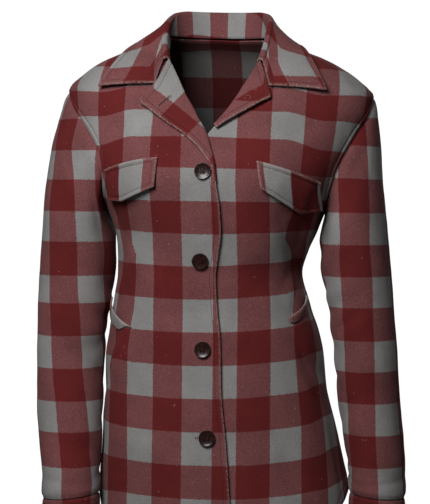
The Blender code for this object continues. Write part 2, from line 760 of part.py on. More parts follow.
def corner_blend(start, end, share):
    """Point between two flat corners."""
    return tuple(a + (b - a) * share for a, b in zip(start, end))


def make_flap(flap, name, finish):
    """Make one pointed chest flap from the points of its front, moved out."""
    low_run = flap.outer_low[0] - flap.inner_low[0]
    point_share = (flap.point[0] - flap.inner_low[0]) / low_run
    outer = []
    inner = []
    for i in range(FLAP_ROWS):
        down = i / (FLAP_ROWS - 1)
        top = []
        base = []
        for j in range(FLAP_COLUMNS):
            share = j / (FLAP_COLUMNS - 1)
            high = corner_blend(flap.inner_top, flap.outer_top, share)
            if share < point_share:
                low = corner_blend(flap.inner_low, flap.point, share / point_share)
            else:
                rest_share = (share - point_share) / (1.0 - point_share)
                low = corner_blend(flap.point, flap.outer_low, rest_share)
            x, z = corner_blend(high, low, down)
            rise = FLAP_REST + FLAP_LIFT * down ** 1.6
            base.append(on_front(flap.side * x, z, rise))
            top.append(on_front(flap.side * x, z, rise + FOLDED_CLOTH))
        outer.append(top)
        inner.append(base)
    return closed_wall(name, outer, inner, finish)


def make_welt(welt, name, finish):
    """Make one slanted pocket welt from the points of its front, moved out."""
    outer = []
    inner = []
    for i in range(WELT_ROWS):
        down = i / (WELT_ROWS - 1)
        top = []
        base = []
        for j in range(WELT_COLUMNS):
            share = j / (WELT_COLUMNS - 1)
            angle = welt.front_angle + (welt.side_angle - welt.front_angle) * share
            z = welt.front_z + (welt.side_z - welt.front_z) * share - WELT_WIDTH * down
            rise = WELT_REST + WELT_LIFT * down
            place = body_point(welt.side * angle, z)
            normal = body_normal(welt.side * angle, z)
            base.append(place + normal * rise)
            top.append(place + normal * (rise + CLOTH))
        outer.append(top)
        inner.append(base)
    return closed_wall(name, outer, inner, finish)


def make_button(name, place, normal, finish):
    """Turn one dished button with a raised rim and four holes."""
    work = bmesh.new()
    radius = BUTTON_RADIUS
    profile = (
        (0.0, 0.0), (radius - 2.2, 0.0), (radius, 1.6), (radius, 3.0),
        (radius - 0.9, BUTTON_THICKNESS), (radius - BUTTON_RIM, BUTTON_THICKNESS - 0.3),
        (radius - BUTTON_RIM - 1.4, BUTTON_THICKNESS - BUTTON_DISH),
        (0.0, BUTTON_THICKNESS - BUTTON_DISH),
    )
    verts = [work.verts.new((r * MM, 0.0, h * MM)) for r, h in profile]
    edges = [work.edges.new((a, b)) for a, b in zip(verts, verts[1:])]
    bmesh.ops.spin(
        work, geom=verts + edges, cent=(0.0, 0.0, 0.0), axis=(0.0, 0.0, 1.0),
        angle=2.0 * math.pi, steps=BUTTON_SIDES, use_merge=True,
    )
    bmesh.ops.remove_doubles(work, verts=work.verts, dist=0.00001)
    bmesh.ops.recalc_face_normals(work, faces=work.faces)
    mesh = bpy.data.meshes.new(name)
    work.to_mesh(mesh)
    work.free()
    mesh.shade_smooth()
    mesh.set_sharp_from_angle(angle=math.radians(35.0))
    mesh.materials.append(finish)
    made = bpy.data.objects.new(name, mesh)
    bpy.context.scene.collection.objects.link(made)
    made.location = lean(place) * MM
    made.rotation_mode = "QUATERNION"
    made.rotation_quaternion = normal.to_track_quat("Z", "Y")
    cutter = hole_cutter(name + "_holes")
    cutter.parent = made
    cut = made.modifiers.new("holes", "BOOLEAN")
    cut.operation = "DIFFERENCE"
    cut.object = cutter
    return made


def hole_cutter(name):
    """Make four pins that cut a button's holes."""
    work = bmesh.new()
    for turn in (45.0, 135.0, 225.0, 315.0):
        swing = math.radians(turn)
        ring = bmesh.ops.create_cone(
            work, cap_ends=True, segments=8, radius1=BUTTON_HOLE_RADIUS * MM,
            radius2=BUTTON_HOLE_RADIUS * MM, depth=4.0 * BUTTON_THICKNESS * MM,
        )
        reach = BUTTON_HOLE_OFFSET * math.sqrt(2.0) * MM
        bmesh.ops.translate(
            work, verts=ring["verts"],
            vec=(reach * math.cos(swing), reach * math.sin(swing), 0.0),
        )
    mesh = bpy.data.meshes.new(name)
    work.to_mesh(mesh)
    work.free()
    made = bpy.data.objects.new(name, mesh)
    bpy.context.scene.collection.objects.link(made)
    made.hide_render = True
    made.display_type = "WIRE"
    return made


def seat_height(place, normal, z):
    """Height at which a button's flat back just clears the cloth under it."""
    highest = 0.0
    centre = read_table(BODY_SECTIONS, "centre_x", z)
    for k in range(BUTTON_SEAT_CHECKS):
        swing = 2.0 * math.pi * k / BUTTON_SEAT_CHECKS
        x = place.x - centre + BUTTON_RADIUS * math.cos(swing)
        beside = body_point(angle_at(x, z), z + BUTTON_RADIUS * math.sin(swing))
        highest = max(highest, (beside - place).dot(normal))
    return highest + BUTTON_SEAT_GAP


def make_front_buttons(finish):
    """Sew the row of buttons down the upper front's edge."""
    for number, z in enumerate(BUTTON_HEIGHTS, start=1):
        normal = body_normal(0.0, z)
        place = body_point(0.0, z)
        place += normal * seat_height(place, normal, z)
        make_button("button_%d" % number, place, normal, finish)


def make_cuff_button(side, name, ring, finish):
    """Sew one button on the back of a cuff."""
    turn = math.radians(250.0)
    place = ring_point(side, ring, turn)
    place.z -= CUFF_DEPTH * 0.5
    place.y -= 3.0
    middle = Vector((side * (ring.outer_x + ring.inner_x) / 2.0, ring.middle_y - 3.0, place.z))
    normal = Vector((
        (place.x - middle.x) / ((ring.outer_x - ring.inner_x) / 2.0) ** 2,
        (place.y - middle.y) / ring.half_depth ** 2,
        0.0,
    )).normalized()
    place += normal * 2.4
    make_button(name, place, normal, finish)


def main():
    clear_scene()
    finishes = {
        "red": material("wool_red", WOOL_RED, 0.95),
        "grey": material("wool_grey", WOOL_GREY, 0.95),
        "mixed": material("wool_mixed", WOOL_MIXED, 0.95),
        "horn": material("dark_horn", HORN_BROWN, 0.35),
    }
    make_body(finishes)
    make_sleeve(-1, "sleeve_right", RIGHT_SLEEVE, finishes["red"])
    make_sleeve(1, "sleeve_left", LEFT_SLEEVE, finishes["red"])
    make_cuff(-1, "cuff_right", RIGHT_SLEEVE[-1], finishes["mixed"])
    make_cuff(1, "cuff_left", LEFT_SLEEVE[-1], finishes["mixed"])
    make_collar(finishes["grey"])
    make_lapel(-1, "lapel_right", RIGHT_LAPEL, finishes["grey"])
    make_lapel(1, "lapel_left", LEFT_LAPEL, finishes["grey"])
    make_flap(FLAPS[0], "flap_right", finishes["mixed"])
    make_flap(FLAPS[1], "flap_left", finishes["mixed"])
    make_welt(WELTS[0], "welt_right", finishes["grey"])
    make_welt(WELTS[1], "welt_left", finishes["grey"])
    make_front_buttons(finishes["horn"])
    make_cuff_button(-1, "cuff_button_right", RIGHT_SLEEVE[-1], finishes["horn"])
    make_cuff_button(1, "cuff_button_left", LEFT_SLEEVE[-1], finishes["horn"])


main()
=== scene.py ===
"""Shirt-style wool jacket in a large red and grey check, dressed for its photograph.

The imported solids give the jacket's form. This file lays fine cloth over that form: the
two fronts with their darts, the back, sleeves, cuffs, turned-down collar, lapels, chest
flaps and pocket welts, with their rolled edges, creases, topstitching, buttonholes and
buttons. Forms are worked out in millimetres and become metres when a mesh is made.
"""
import logging
import math
from bisect import bisect_right
from dataclasses import dataclass, field
from enum import Enum
from typing import Callable, Dict, Iterable, List, Optional, Sequence, Tuple

import bmesh
import bpy
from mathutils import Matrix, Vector, noise
from mathutils.kdtree import KDTree


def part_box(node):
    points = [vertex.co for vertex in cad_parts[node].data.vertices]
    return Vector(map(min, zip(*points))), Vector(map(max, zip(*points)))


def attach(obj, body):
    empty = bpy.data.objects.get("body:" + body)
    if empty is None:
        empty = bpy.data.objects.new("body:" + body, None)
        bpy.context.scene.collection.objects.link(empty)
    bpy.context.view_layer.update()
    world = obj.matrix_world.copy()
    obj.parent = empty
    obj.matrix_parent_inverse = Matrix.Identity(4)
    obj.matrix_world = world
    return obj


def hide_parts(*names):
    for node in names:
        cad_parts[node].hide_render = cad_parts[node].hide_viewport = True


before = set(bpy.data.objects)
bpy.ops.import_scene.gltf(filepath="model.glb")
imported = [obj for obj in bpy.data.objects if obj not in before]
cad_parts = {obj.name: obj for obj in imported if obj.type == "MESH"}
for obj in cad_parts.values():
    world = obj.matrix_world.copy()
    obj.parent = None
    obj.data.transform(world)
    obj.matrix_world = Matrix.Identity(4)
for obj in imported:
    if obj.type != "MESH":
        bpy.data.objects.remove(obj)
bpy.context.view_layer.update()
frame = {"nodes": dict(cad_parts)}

LOG = logging.getLogger("wool_jacket")
MM = 0.001
Grid = List[List[Vector]]
Pair = Tuple[float, float]
Spot = Tuple[Vector, Vector]
Bar = Tuple[Vector, Vector, Vector]
BLOCK_WIDTH = 45.0
BLOCK_HEIGHT = 46.0
NECK_TOP = 17.0
FAR_AWAY = 40.0


class Side(Enum):
    """The wearer's side of the jacket, with its sign along X."""

    RIGHT = -1
    LEFT = 1

    @property
    def word(self) -> str:
        """Name of the side as the pieces are named."""
        return self.name.lower()


class Slot(Enum):
    """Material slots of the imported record."""

    WOOL = "check_wool"
    BUTTON = "dark_button"


class SmoothTable:
    """Numbers by position, read along a smooth curve that never overshoots them."""

    def __init__(self, places: Sequence[float], values: Sequence[float]) -> None:
        """Sort the rows and work out the curve's tangents.

        Args:
            places: Positions of the rows, in any order.
            values: Number at each position.
        """
        pairs = sorted(zip(places, values))
        self.places = [place for place, _ in pairs]
        self.values = [value for _, value in pairs]
        count = len(pairs)
        slopes = [
            (self.values[i + 1] - self.values[i]) / (self.places[i + 1] - self.places[i])
            for i in range(count - 1)
        ]
        self.tangents = [slopes[0]]
        for before, after in zip(slopes, slopes[1:]):
            joined = 2.0 * before * after / (before + after) if before * after > 0.0 else 0.0
            self.tangents.append(joined)
        self.tangents.append(slopes[-1])

    def __call__(self, place: float) -> float:
        """Read the curve.

        Args:
            place: Position to read at; the end values hold beyond the ends.

        Returns:
            The number there.
        """
        if place <= self.places[0]:
            return self.values[0]
        if place >= self.places[-1]:
            return self.values[-1]
        low = bisect_right(self.places, place) - 1
        span = self.places[low + 1] - self.places[low]
        t = (place - self.places[low]) / span
        t2 = t * t
        t3 = t2 * t
        return (
            (2.0 * t3 - 3.0 * t2 + 1.0) * self.values[low]
            + (t3 - 2.0 * t2 + t) * span * self.tangents[low]
            + (3.0 * t2 - 2.0 * t3) * self.values[low + 1]
            + (t3 - t2) * span * self.tangents[low + 1]
        )


def tables_of(rows: Sequence[Sequence[float]]) -> List[SmoothTable]:
    """Tables of the later columns of some rows, by the first column."""
    first, *others = zip(*rows)
    return [SmoothTable(first, column) for column in others]


def numbered(rows: Sequence[Sequence[float]]) -> List[SmoothTable]:
    """Tables of all the columns of some rows, by the row's number."""
    return [SmoothTable(range(len(rows)), column) for column in zip(*rows)]


def travel(line: Iterable[Vector], level: bool = False) -> List[float]:
    """Measure along a line of places.

    Args:
        line: The places in order.
        level: Leaves out rise and fall.

    Returns:
        The distance of each place from the first.
    """
    made: List[float] = []
    before = None
    for place in line:
        if level and made:
            run = math.hypot(place.x - before.x, place.y - before.y)
        else:
            run = (place - before).length if made else 0.0
        made.append(sum(made[-1:]) + run)
        before = place
    return made


def smooth_step(low: float, high: float, value: float) -> float:
    """Rise smoothly from 0 at low to 1 at high.

    Args:
        low: Value at which the rise starts.
        high: Value at which it ends.
        value: Place to read at.

    Returns:
        The share of the rise, from 0 to 1.
    """
    t = min(max((value - low) / (high - low), 0.0), 1.0)
    return t * t * (3.0 - 2.0 * t)


def bell(value: float) -> float:
    """Soft bump that is 1 at 0 and fades out past 1."""
    return math.exp(-value * value)


def linear(colour: str) -> Tuple[float, float, float, float]:
    """Turn a hex colour into linear red, green, blue and alpha.

    Args:
        colour: Six hex digits.

    Returns:
        The linear colour with full alpha.
    """
    parts = [int(colour[i:i + 2], 16) / 255.0 for i in (0, 2, 4)]
    made = [p / 12.92 if p <= 0.04045 else ((p + 0.055) / 1.055) ** 2.4 for p in parts]
    return (made[0], made[1], made[2], 1.0)


@dataclass(frozen=True)
class Crease:
    """One soft trough or ridge pressed into the body's cloth between two places."""

    angle_a: float
    z_a: float
    angle_b: float
    z_b: float
    width: float
    depth: float
    bow: float = 0.0


class Dart:
    """Cloth taken in along a slanted line of a front, by height."""

    def __init__(self, side: int, line: Sequence[Pair], intake: Sequence[Pair]) -> None:
        """Make the dart's tables.

        Args:
            side: Sign of the side along X.
            line: Distance of the dart from the middle plane, with its height.
            intake: Cloth taken in, with its height.
        """
        self.side = side
        self.place, self.intake = [tables_of([row[::-1] for row in rows])[0] for rows in (line, intake)]

    def taken(self, x: float, z: float) -> Pair:
        """Cloth taken in before a place of the front, and the distance from the dart."""
        off = self.side * x - self.place(z)
        return self.intake(z) * smooth_step(-1.3, 1.3, off), off


# Height, half width, front depth, back depth and middle of each level of the body
SECTIONS: Tuple[Tuple[float, float, float, float, float], ...] = (
    (17, 76, 5, 58, 0), (8.5, 100, 18, 70, 0), (0, 124, 31, 79, 0), (-9, 149, 44, 85, 1),
    (-20, 172, 57, 90, 1), (-37, 197, 73, 95, 2), (-61, 220, 89, 99, 2), (-85, 218, 102, 101, 2),
    (-110, 210, 113, 103, 0), (-139, 201, 124, 104, -2), (-174, 187, 131, 103, -4),
    (-195, 176, 132, 101, -4), (-228, 158, 129, 98, -3), (-256, 147, 124, 95, -3), (-290, 138, 117, 91, -8),
    (-323, 134, 112, 89, -13), (-370, 143, 112, 94, -11), (-408, 152, 115, 102, -7),
    (-443, 158, 118, 108, -6), (-485, 161, 121, 112, -5), (-555, 171, 127, 117, 2), (-625, 180, 133, 121, 7),
    (-700, 187, 138, 125, 11),
)

# Height and the distance of each front's inner edge outward from the centre line
NECK_EDGES: Tuple[Tuple[float, float, float], ...] = (
    (17, 71, 71), (0, 70, 70), (-20, 65, 65), (-49, 49, 50), (-73, 36, 37), (-105, 15, 16), (-125, 1, 2),
    (-143, -6, -12), (-171, -14, -22), (-199, -19, -22), (-226, -21.5, -22), (-300, -23.5, -22),
    (-700, -26, -22),
)

# Side, then angle and height of each end, width, depth and bow of the body's creases
CREASES: Tuple[Tuple[float, ...], ...] = (
    (-1, 58, -398, 84, -505, 15, 7), (-1, 40, -250, 74, -318, 20, 4), (1, 42, -246, 78, -322, 20, 5),
    (1, 60, -440, 82, -470, 13, 4), (-1, 130, -215, 108, -300, 22, 6), (1, 128, -205, 106, -292, 24, 6),
    (-1, 165, -335, 118, -352, 16, 5), (1, 160, -365, 112, -340, 15, 4),
    (-1, 52, -205, 60, -262, 11, 3.6, 4), (1, 55, -212, 66, -275, 12, 3.4, -4),
    (-1, 46, -402, 66, -476, 8, -2.2, 5), (-1, 70, -300, 48, -352, 10, 1.6, 3),
    (1, 72, -306, 50, -352, 11, 1.8, -3), (1, 46, -402, 72, -510, 13, 2, 5),
    (-1, 30, -440, 46, -640, 20, 1.6, -8), (1, 26, -470, 38, -660, 22, 1.5, 7),
    (-1, 76, -520, 70, -640, 15, 2.6, 6), (1, 84, -505, 74, -640, 16, 2.4, -6),
    (-1, 12, -92, 46, -132, 13, 1.3, 4), (1, 18, -120, 50, -98, 14, 1.1, -4),
    (-1, 150, -120, 128, -210, 17, 3.4, 8), (1, 148, -128, 126, -214, 19, 3, -8),
    (-1, 172, -300, 124, -318, 11, 2.6, 4), (1, 174, -322, 128, -308, 12, 2.4, -3),
    (-1, 176, -372, 138, -392, 12, 2.8, 5), (1, 170, -398, 134, -384, 11, 2, 4),
    (-1, 158, -440, 148, -660, 24, 2.8, 9), (1, 150, -450, 140, -650, 22, 2.4, -9),
    (-1, 118, -470, 112, -640, 17, 2.4, 5), (1, 120, -440, 110, -600, 18, 2, -6),
)

DARTS: Tuple[Dart, ...] = (
    Dart(-1, ((128.0, -225.0), (122.0, -267.0), (113.0, -280.0), (104.5, -294.0),
              (104.0, -312.0), (107.0, -358.0), (111.0, -396.0), (114.0, -424.0)),
         ((0.0, -215.0), (6.0, -240.0), (10.0, -267.0), (14.0, -294.0), (14.0, -312.0),
          (10.5, -358.0), (5.5, -396.0), (0.0, -430.0))),
    Dart(1, ((97.0, -215.0), (99.0, -240.0), (103.0, -269.0), (111.0, -285.0),
             (118.0, -311.0), (117.0, -340.0), (113.0, -381.0), (118.0, -450.0),
             (124.0, -520.0)),
         ((0.0, -215.0), (14.0, -240.0), (20.0, -269.0), (12.0, -290.0), (8.0, -312.0),
          (9.0, -350.0), (10.0, -381.0), (6.0, -450.0), (0.0, -520.0))),
)


class BodyForm:
    """Form of the jacket's body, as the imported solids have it, with its finer creases."""

    POWER = 2.3
    TIP_Z = -61.0
    UNDERARM_Z = -228.0
    HEM_START_Z = -540.0
    HEM_Z = -700.0
    SIDE_HEM_Z = -628.0
    BUST = (7.0, 84.0, -188.0, 44.0, 52.0)
    FRONT_REACH = {-1: 40.0, 1: 22.0}
    BACK_REACH = {-1: 21.0, 1: 31.0}
    LEAN = (0.0275, 0.0175, 60.0)
    LEAN_FADE = (-330.0, -110.0)
    UNDER_DEPTH = 2.7
    UNDER_BLEND = (32.0, 68.0)

    def __init__(self) -> None:
        """Make the tables of levels and neck edges."""
        self.half_width, self.front, self.back, self.centre = tables_of(SECTIONS)
        self.edge = dict(zip((-1, 1), tables_of(NECK_EDGES)))
        self.creases = {side: [Crease(*row[1:]) for row in CREASES if row[0] == side] for side in (-1, 1)}

    def lean(self, point: Vector) -> Vector:
        """Lower the wearer's left shoulder and raise the other, as the jacket sits on its wearer.

        Args:
            point: Place on the upright form.

        Returns:
            The place on the wearer.
        """
        slope, droop, rounding = self.LEAN
        strength = smooth_step(*self.LEAN_FADE, point.z)
        drop = slope * point.x + droop * (math.hypot(point.x, rounding) - rounding)
        return Vector((point.x, point.y, point.z - strength * drop))

    def relief(self, side: int, angle: float, z: float, radius: float) -> float:
        """Depth of the creases at one place, negative inward.

        Args:
            side: Sign of the side along X.
            angle: Angle from the centre front, without its sign.
            z: Height.
            radius: Half width of the body at that height.

        Returns:
            How far the cloth stands off the plain form.
        """
        total = 0.0
        across = math.radians(angle) * radius
        for crease in self.creases[side]:
            reach = 3.0 * crease.width
            if z > max(crease.z_a, crease.z_b) + reach or z < min(crease.z_a, crease.z_b) - reach:
                continue
            ax = math.radians(crease.angle_a) * radius
            run_x = math.radians(crease.angle_b) * radius - ax
            run_z = crease.z_b - crease.z_a
            length = math.hypot(run_x, run_z)
            t = ((across - ax) * run_x + (z - crease.z_a) * run_z) / (length * length)
            near = min(max(t, 0.0), 1.0)
            bowed = crease.bow * math.sin(math.pi * near)
            off_x = across - ax - near * run_x + bowed * run_z / length
            off_z = z - crease.z_a - near * run_z - bowed * run_x / length
            away = math.hypot(off_x, off_z) / crease.width
            if away > 3.0:
                continue
            fade = math.sin(math.pi * (0.15 + 0.7 * near))
            total -= crease.depth * fade * bell(away)
        return total

    def point(self, angle: float, z: float, offset: float = 0.0) -> Vector:
        """Place on the body's outer face.

        Args:
            angle: Angle from 0 at the centre front to 180 at the centre back, positive
                toward +X.
            z: Height.
            offset: Distance out along the level's own normal.

        Returns:
            The place on the upright form.
        """
        side = 1 if angle >= 0.0 else -1
        turn = math.radians(abs(angle))
        in_front = abs(angle) <= 90.0
        half_width = self.half_width(z)
        depth = self.front(z) if in_front else self.back(z)
        power = 2.0 / self.POWER
        across = abs(math.sin(turn)) ** power
        along = abs(math.cos(turn)) ** power
        facing = -1.0 if in_front else 1.0
        normal_x = side * across ** (self.POWER - 1.0) / half_width
        normal_y = facing * along ** (self.POWER - 1.0) / depth
        length = math.hypot(normal_x, normal_y)
        x = side * half_width * across
        rise = offset + self.relief(side, abs(angle), z, half_width)
        if in_front:
            height, bust_x, bust_z, width, reach = self.BUST
            rise += height * bell(math.hypot((abs(x) - bust_x) / width, (z - bust_z) / reach))
        return Vector((
            x + self.centre(z) + normal_x / length * rise,
            facing * depth * along + normal_y / length * rise,
            z,
        ))

    def angle_at(self, x: float, z: float) -> float:
        """Angle of a place on the front, x from the centre line."""
        ratio = min(abs(x) / self.half_width(z), 1.0) ** (self.POWER / 2.0)
        return math.copysign(math.degrees(math.asin(ratio)), x)

    def normal(self, angle: float, z: float) -> Vector:
        """Outward normal of the body's face at a place."""
        step = 0.6
        round_run = self.point(angle + step, z) - self.point(angle - step, z)
        up_run = self.point(angle, z + step) - self.point(angle, z - step)
        normal = round_run.cross(up_run).normalized()
        outward = self.point(angle, z) - Vector((0.0, 0.0, z))
        return normal if normal.dot(outward) > 0.0 else -normal

    def on_front(self, x: float, z: float, rise: float) -> Vector:
        """Place that stands off the front by the rise, x from the centre line."""
        angle = self.angle_at(x, z)
        return self.point(angle, z) + self.normal(angle, z) * rise

    def opening(self, z: float, reach: float) -> float:
        """Angle by which the armhole's edge lies forward or back of the side."""
        down = (self.TIP_Z - z) / (self.TIP_Z - self.UNDERARM_Z)
        if down <= 0.0 or down >= 1.0:
            return 0.0
        return reach * math.sin(math.pi * down ** 1.3) ** 0.6

    def armhole(self, side: int, turn: float) -> Vector:
        """Place on the armhole's seam, the turn going from the top through the front."""
        z = self.TIP_Z + (self.UNDERARM_Z - self.TIP_Z) * (1.0 - math.cos(turn)) / 2.0
        if math.sin(turn) >= 0.0:
            angle = 90.0 - self.opening(z, self.FRONT_REACH[side])
        else:
            angle = 90.0 + self.opening(z, self.BACK_REACH[side])
        return self.point(side * angle, z)

    def hem_height(self, angle: float, z: float) -> float:
        """Height of a row once the hem rises toward the side seam."""
        if z >= self.HEM_START_Z:
            return z
        off_side = min(abs(abs(angle) - 90.0) / 52.0, 1.0)
        hem = self.SIDE_HEM_Z + (self.HEM_Z - self.SIDE_HEM_Z) * smooth_step(0.0, 1.0, off_side)
        share = (z - self.HEM_START_Z) / (self.HEM_Z - self.HEM_START_Z)
        return self.HEM_START_Z + share * (hem - self.HEM_START_Z)

    def rows(self, spacing: float) -> List[float]:
        """Heights of the rows, those along the armhole packed toward its two ends.

        Args:
            spacing: Usual distance between rows.

        Returns:
            Heights from the neck down to the hem.
        """
        steps = 2 * int((self.TIP_Z - self.UNDERARM_Z) / spacing / 1.4)
        along = [
            self.TIP_Z + (self.UNDERARM_Z - self.TIP_Z)
            * (1.0 - math.cos(math.pi * k / steps)) / 2.0
            for k in range(steps + 1)
        ]
        top = NECK_TOP
        above = int((top - self.TIP_Z) / spacing)
        below = int((self.UNDERARM_Z - self.HEM_Z) / spacing)
        rows = [top + (self.TIP_Z - top) * k / above for k in range(above)]
        rows += along
        rows += [self.UNDERARM_Z + (self.HEM_Z - self.UNDERARM_Z) * k / below for k in range(1, below + 1)]
        return rows


BODY = BodyForm()
WITHIN = Vector((0.0, 0.0, -400.0))


class Border(Enum):
    """How one border of a cloth piece is finished."""

    FREE = "free"
    SEAM = "seam"


@dataclass
class ClothGrid:
    """Grid of places on a cloth's face, with what its weave and its pale edges, part abraded nap and part
    painted highlight, need to know.

    Rows run down the cloth and columns across it. The weave's places are in millimetres
    of flat cloth, so the check keeps its size wherever the cloth bends.
    """

    face: Grid
    weave: List[List[Pair]]
    thickness: float
    inside: Vector
    wraps: bool = False
    top: Border = Border.FREE
    bottom: Border = Border.FREE
    left: Border = Border.FREE
    right: Border = Border.FREE
    # Paleness of the free edges: partly abraded nap, partly painted highlight where the rolled edges catch
    # the light.
    wear: Optional[List[List[float]]] = None
    back_face: Optional[Grid] = None

    def turned(self) -> Grid:
        """Work out the outward normals of the face.

        Returns:
            One normal for each place of the grid.
        """
        rows, columns = len(self.face), len(self.face[0])
        normals = []
        for i in range(rows):
            above = self.face[max(i - 1, 0)]
            below = self.face[min(i + 1, rows - 1)]
            line = self.face[i]
            made = []
            for j in range(columns):
                after = line[(j + 1) % columns] if self.wraps else line[min(j + 1, columns - 1)]
                before = line[j - 1] if self.wraps or j else line[0]
                made.append((after - before).cross(below[j] - above[j]).normalized())
            normals.append(made)
        middle = self.face[rows // 2][columns // 2] - self.inside
        if normals[rows // 2][columns // 2].dot(middle) < 0.0:
            normals = [[-normal for normal in line] for line in normals]
        return normals

    def press(self, depth_at: Callable[[int, int], float]) -> None:
        """Move each place of the face along its normal.

        Args:
            depth_at: Gives the move outward for a row and a column.
        """
        normals = self.turned()
        for i, line in enumerate(self.face):
            for j, place in enumerate(line):
                move = depth_at(i, j)
                if move:
                    line[j] = place + normals[i][j] * move

    def edge_wear_and_highlight(self, reach: float) -> None:
        """Mark how pale the free borders are: partly abraded nap, partly painted highlight where the rolled
        edges catch the light.

        Args:
            reach: Distance from a border at which the paleness has faded.
        """
        rows, columns = len(self.face), len(self.face[0])
        wear = [[0.0] * columns for _ in range(rows)]
        sides = (
            (self.top, [(0, j, i) for j in range(columns) for i in range(rows)], 0),
            (self.bottom, [(rows - 1, j, i) for j in range(columns) for i in range(rows)], 0),
            (self.left, [(i, 0, j) for i in range(rows) for j in range(columns)], 1),
            (self.right, [(i, columns - 1, j) for i in range(rows) for j in range(columns)], 1),
        )
        for border, places, across in sides:
            if border is not Border.FREE or (across and self.wraps):
                continue
            for first, second, other in places:
                i, j = (other, second) if not across else (first, other)
                away = (self.face[i][j] - self.face[first][second]).length
                wear[i][j] = max(wear[i][j], bell(away / reach))
        self.wear = wear

    def perimeter(self) -> List[List[Tuple[int, int, Vector, Border]]]:
        """List the border's places in order with the way out and the kind of border.

        Returns:
            One closed loop, or a loop at the top and one at the bottom of a tube.
        """
        face = self.face
        rows, columns = len(face), len(face[0])
        if self.wraps:
            top = [(0, j, face[0][j] - face[1][j], self.top) for j in range(columns)]
            low = [(rows - 1, j, face[-1][j] - face[-2][j], self.bottom) for j in range(columns)]
            return [top, low]
        loop = [(0, j, face[0][j] - face[1][j], self.top) for j in range(columns)]
        loop += [(i, columns - 1, face[i][-1] - face[i][-2], self.right) for i in range(1, rows)]
        loop += [(rows - 1, j, face[-1][j] - face[-2][j], self.bottom) for j in range(columns - 2, -1, -1)]
        loop += [(i, 0, face[i][0] - face[i][1], self.left) for i in range(rows - 2, 0, -1)]
        corners = {(0, 0): (1, 1), (0, columns - 1): (1, -1), (rows - 1, 0): (-1, 1),
                   (rows - 1, columns - 1): (-1, -1)}
        fixed = []
        for i, j, out, border in loop:
            if (i, j) in corners:
                step_i, step_j = corners[(i, j)]
                out = (face[i][j] - face[i + step_i][j]).normalized()
                out = out + (face[i][j] - face[i][j + step_j]).normalized()
            fixed.append((i, j, out, border))
        return [fixed]

    def build(self, name: str) -> bpy.types.Object:
        """Make the closed piece of cloth, with rounded free borders.

        Args:
            name: Name of the piece.

        Returns:
            The piece, with its weave map and the paleness of its edges, part abraded nap and part painted
            highlight.
        """
        rows, columns = len(self.face), len(self.face[0])
        normals = self.turned()
        back = self.back_face
        if back is None:
            back = [
                [place - normal * self.thickness for place, normal in zip(line, turned)]
                for line, turned in zip(self.face, normals)
            ]
        places = [place for line in self.face for place in line]
        places += [place for line in back for place in line]
        weave = [pair for line in self.weave for pair in line] * 2
        wear = self.wear or [[0.0] * columns for _ in range(rows)]
        worn_and_lit = [share for line in wear for share in line]
        # Mask of the inside face, which the wool darkens partly as painted shade.
        inner = [0.0] * len(worn_and_lit) + [1.0] * len(worn_and_lit)
        worn_and_lit = worn_and_lit * 2
        count = rows * columns
        faces = []
        reach = columns if self.wraps else columns - 1
        for i in range(rows - 1):
            for j in range(reach):
                k = (j + 1) % columns
                quad = (i * columns + j, i * columns + k, (i + 1) * columns + k, (i + 1) * columns + j)
                faces.append(quad)
                faces.append(tuple(count + corner for corner in reversed(quad)))
        for loop in self.perimeter():
            start = len(places)
            for i, j, out, border in loop:
                middle = (self.face[i][j] + back[i][j]) / 2.0
                if border is Border.FREE:
                    gap = (self.face[i][j] - back[i][j]).length
                    middle = middle + out.normalized() * gap * 0.34
                places.append(middle)
                weave.append(self.weave[i][j])
                worn_and_lit.append(wear[i][j])
                inner.append(0.0)
            size = len(loop)
            for n in range(size):
                m = (n + 1) % size
                a = loop[n][0] * columns + loop[n][1]
                b = loop[m][0] * columns + loop[m][1]
                faces.append((a, start + n, start + m, b))
                faces.append((start + n, count + a, count + b, start + m))
        mesh = bpy.data.meshes.new(name)
        mesh.from_pydata([BODY.lean(place) * MM for place in places], [], faces)
        work = bmesh.new()
        work.from_mesh(mesh)
        bmesh.ops.recalc_face_normals(work, faces=work.faces)
        work.to_mesh(mesh)
        work.free()
        layer = mesh.uv_layers.new(name="weave")
        for loop_row in mesh.loops:
            u, v = weave[loop_row.vertex_index]
            layer.data[loop_row.index].uv = (u * MM, v * MM)
        for title, values in (("wear", worn_and_lit), ("inner", inner)):
            marks = mesh.attributes.new(title, "FLOAT", "POINT")
            marks.data.foreach_set("value", values)
        mesh.shade_smooth()
        return linked(name, mesh)

    def flat_area(self) -> float:
        """Area of the piece as it was cut, in square metres."""
        total = 0.0
        rows, columns = len(self.weave), len(self.weave[0])
        reach = columns if self.wraps else columns - 1
        for i in range(rows - 1):
            for j in range(reach):
                k = (j + 1) % columns
                a, b = self.face[i][j], self.face[i][k]
                c, d = self.face[i + 1][k], self.face[i + 1][j]
                total += (c - a).cross(d - b).length / 2.0
        return total * MM * MM


def undulation(place: Vector, size: float, depth: float, seed: float) -> float:
    """Slow unevenness of worn cloth.

    Args:
        place: Place in millimetres.
        size: Rough length of one swell.
        depth: Greatest move.
        seed: Picks another pattern of the same kind.

    Returns:
        The move along the normal.
    """
    sample = Vector((place.x / size + seed, place.y / size, place.z / size / 1.6))
    return depth * noise.noise(sample)


def groove(away: float, line: float, depth: float, width: float) -> float:
    """Dent that a row of stitches pulls into the cloth at a distance from an edge."""
    return -depth * bell((away - line) / width)


def pick(made: bpy.types.Object) -> None:
    """Select one object alone and make it the active one."""
    bpy.ops.object.select_all(action="DESELECT")
    made.select_set(True)
    bpy.context.view_layer.objects.active = made


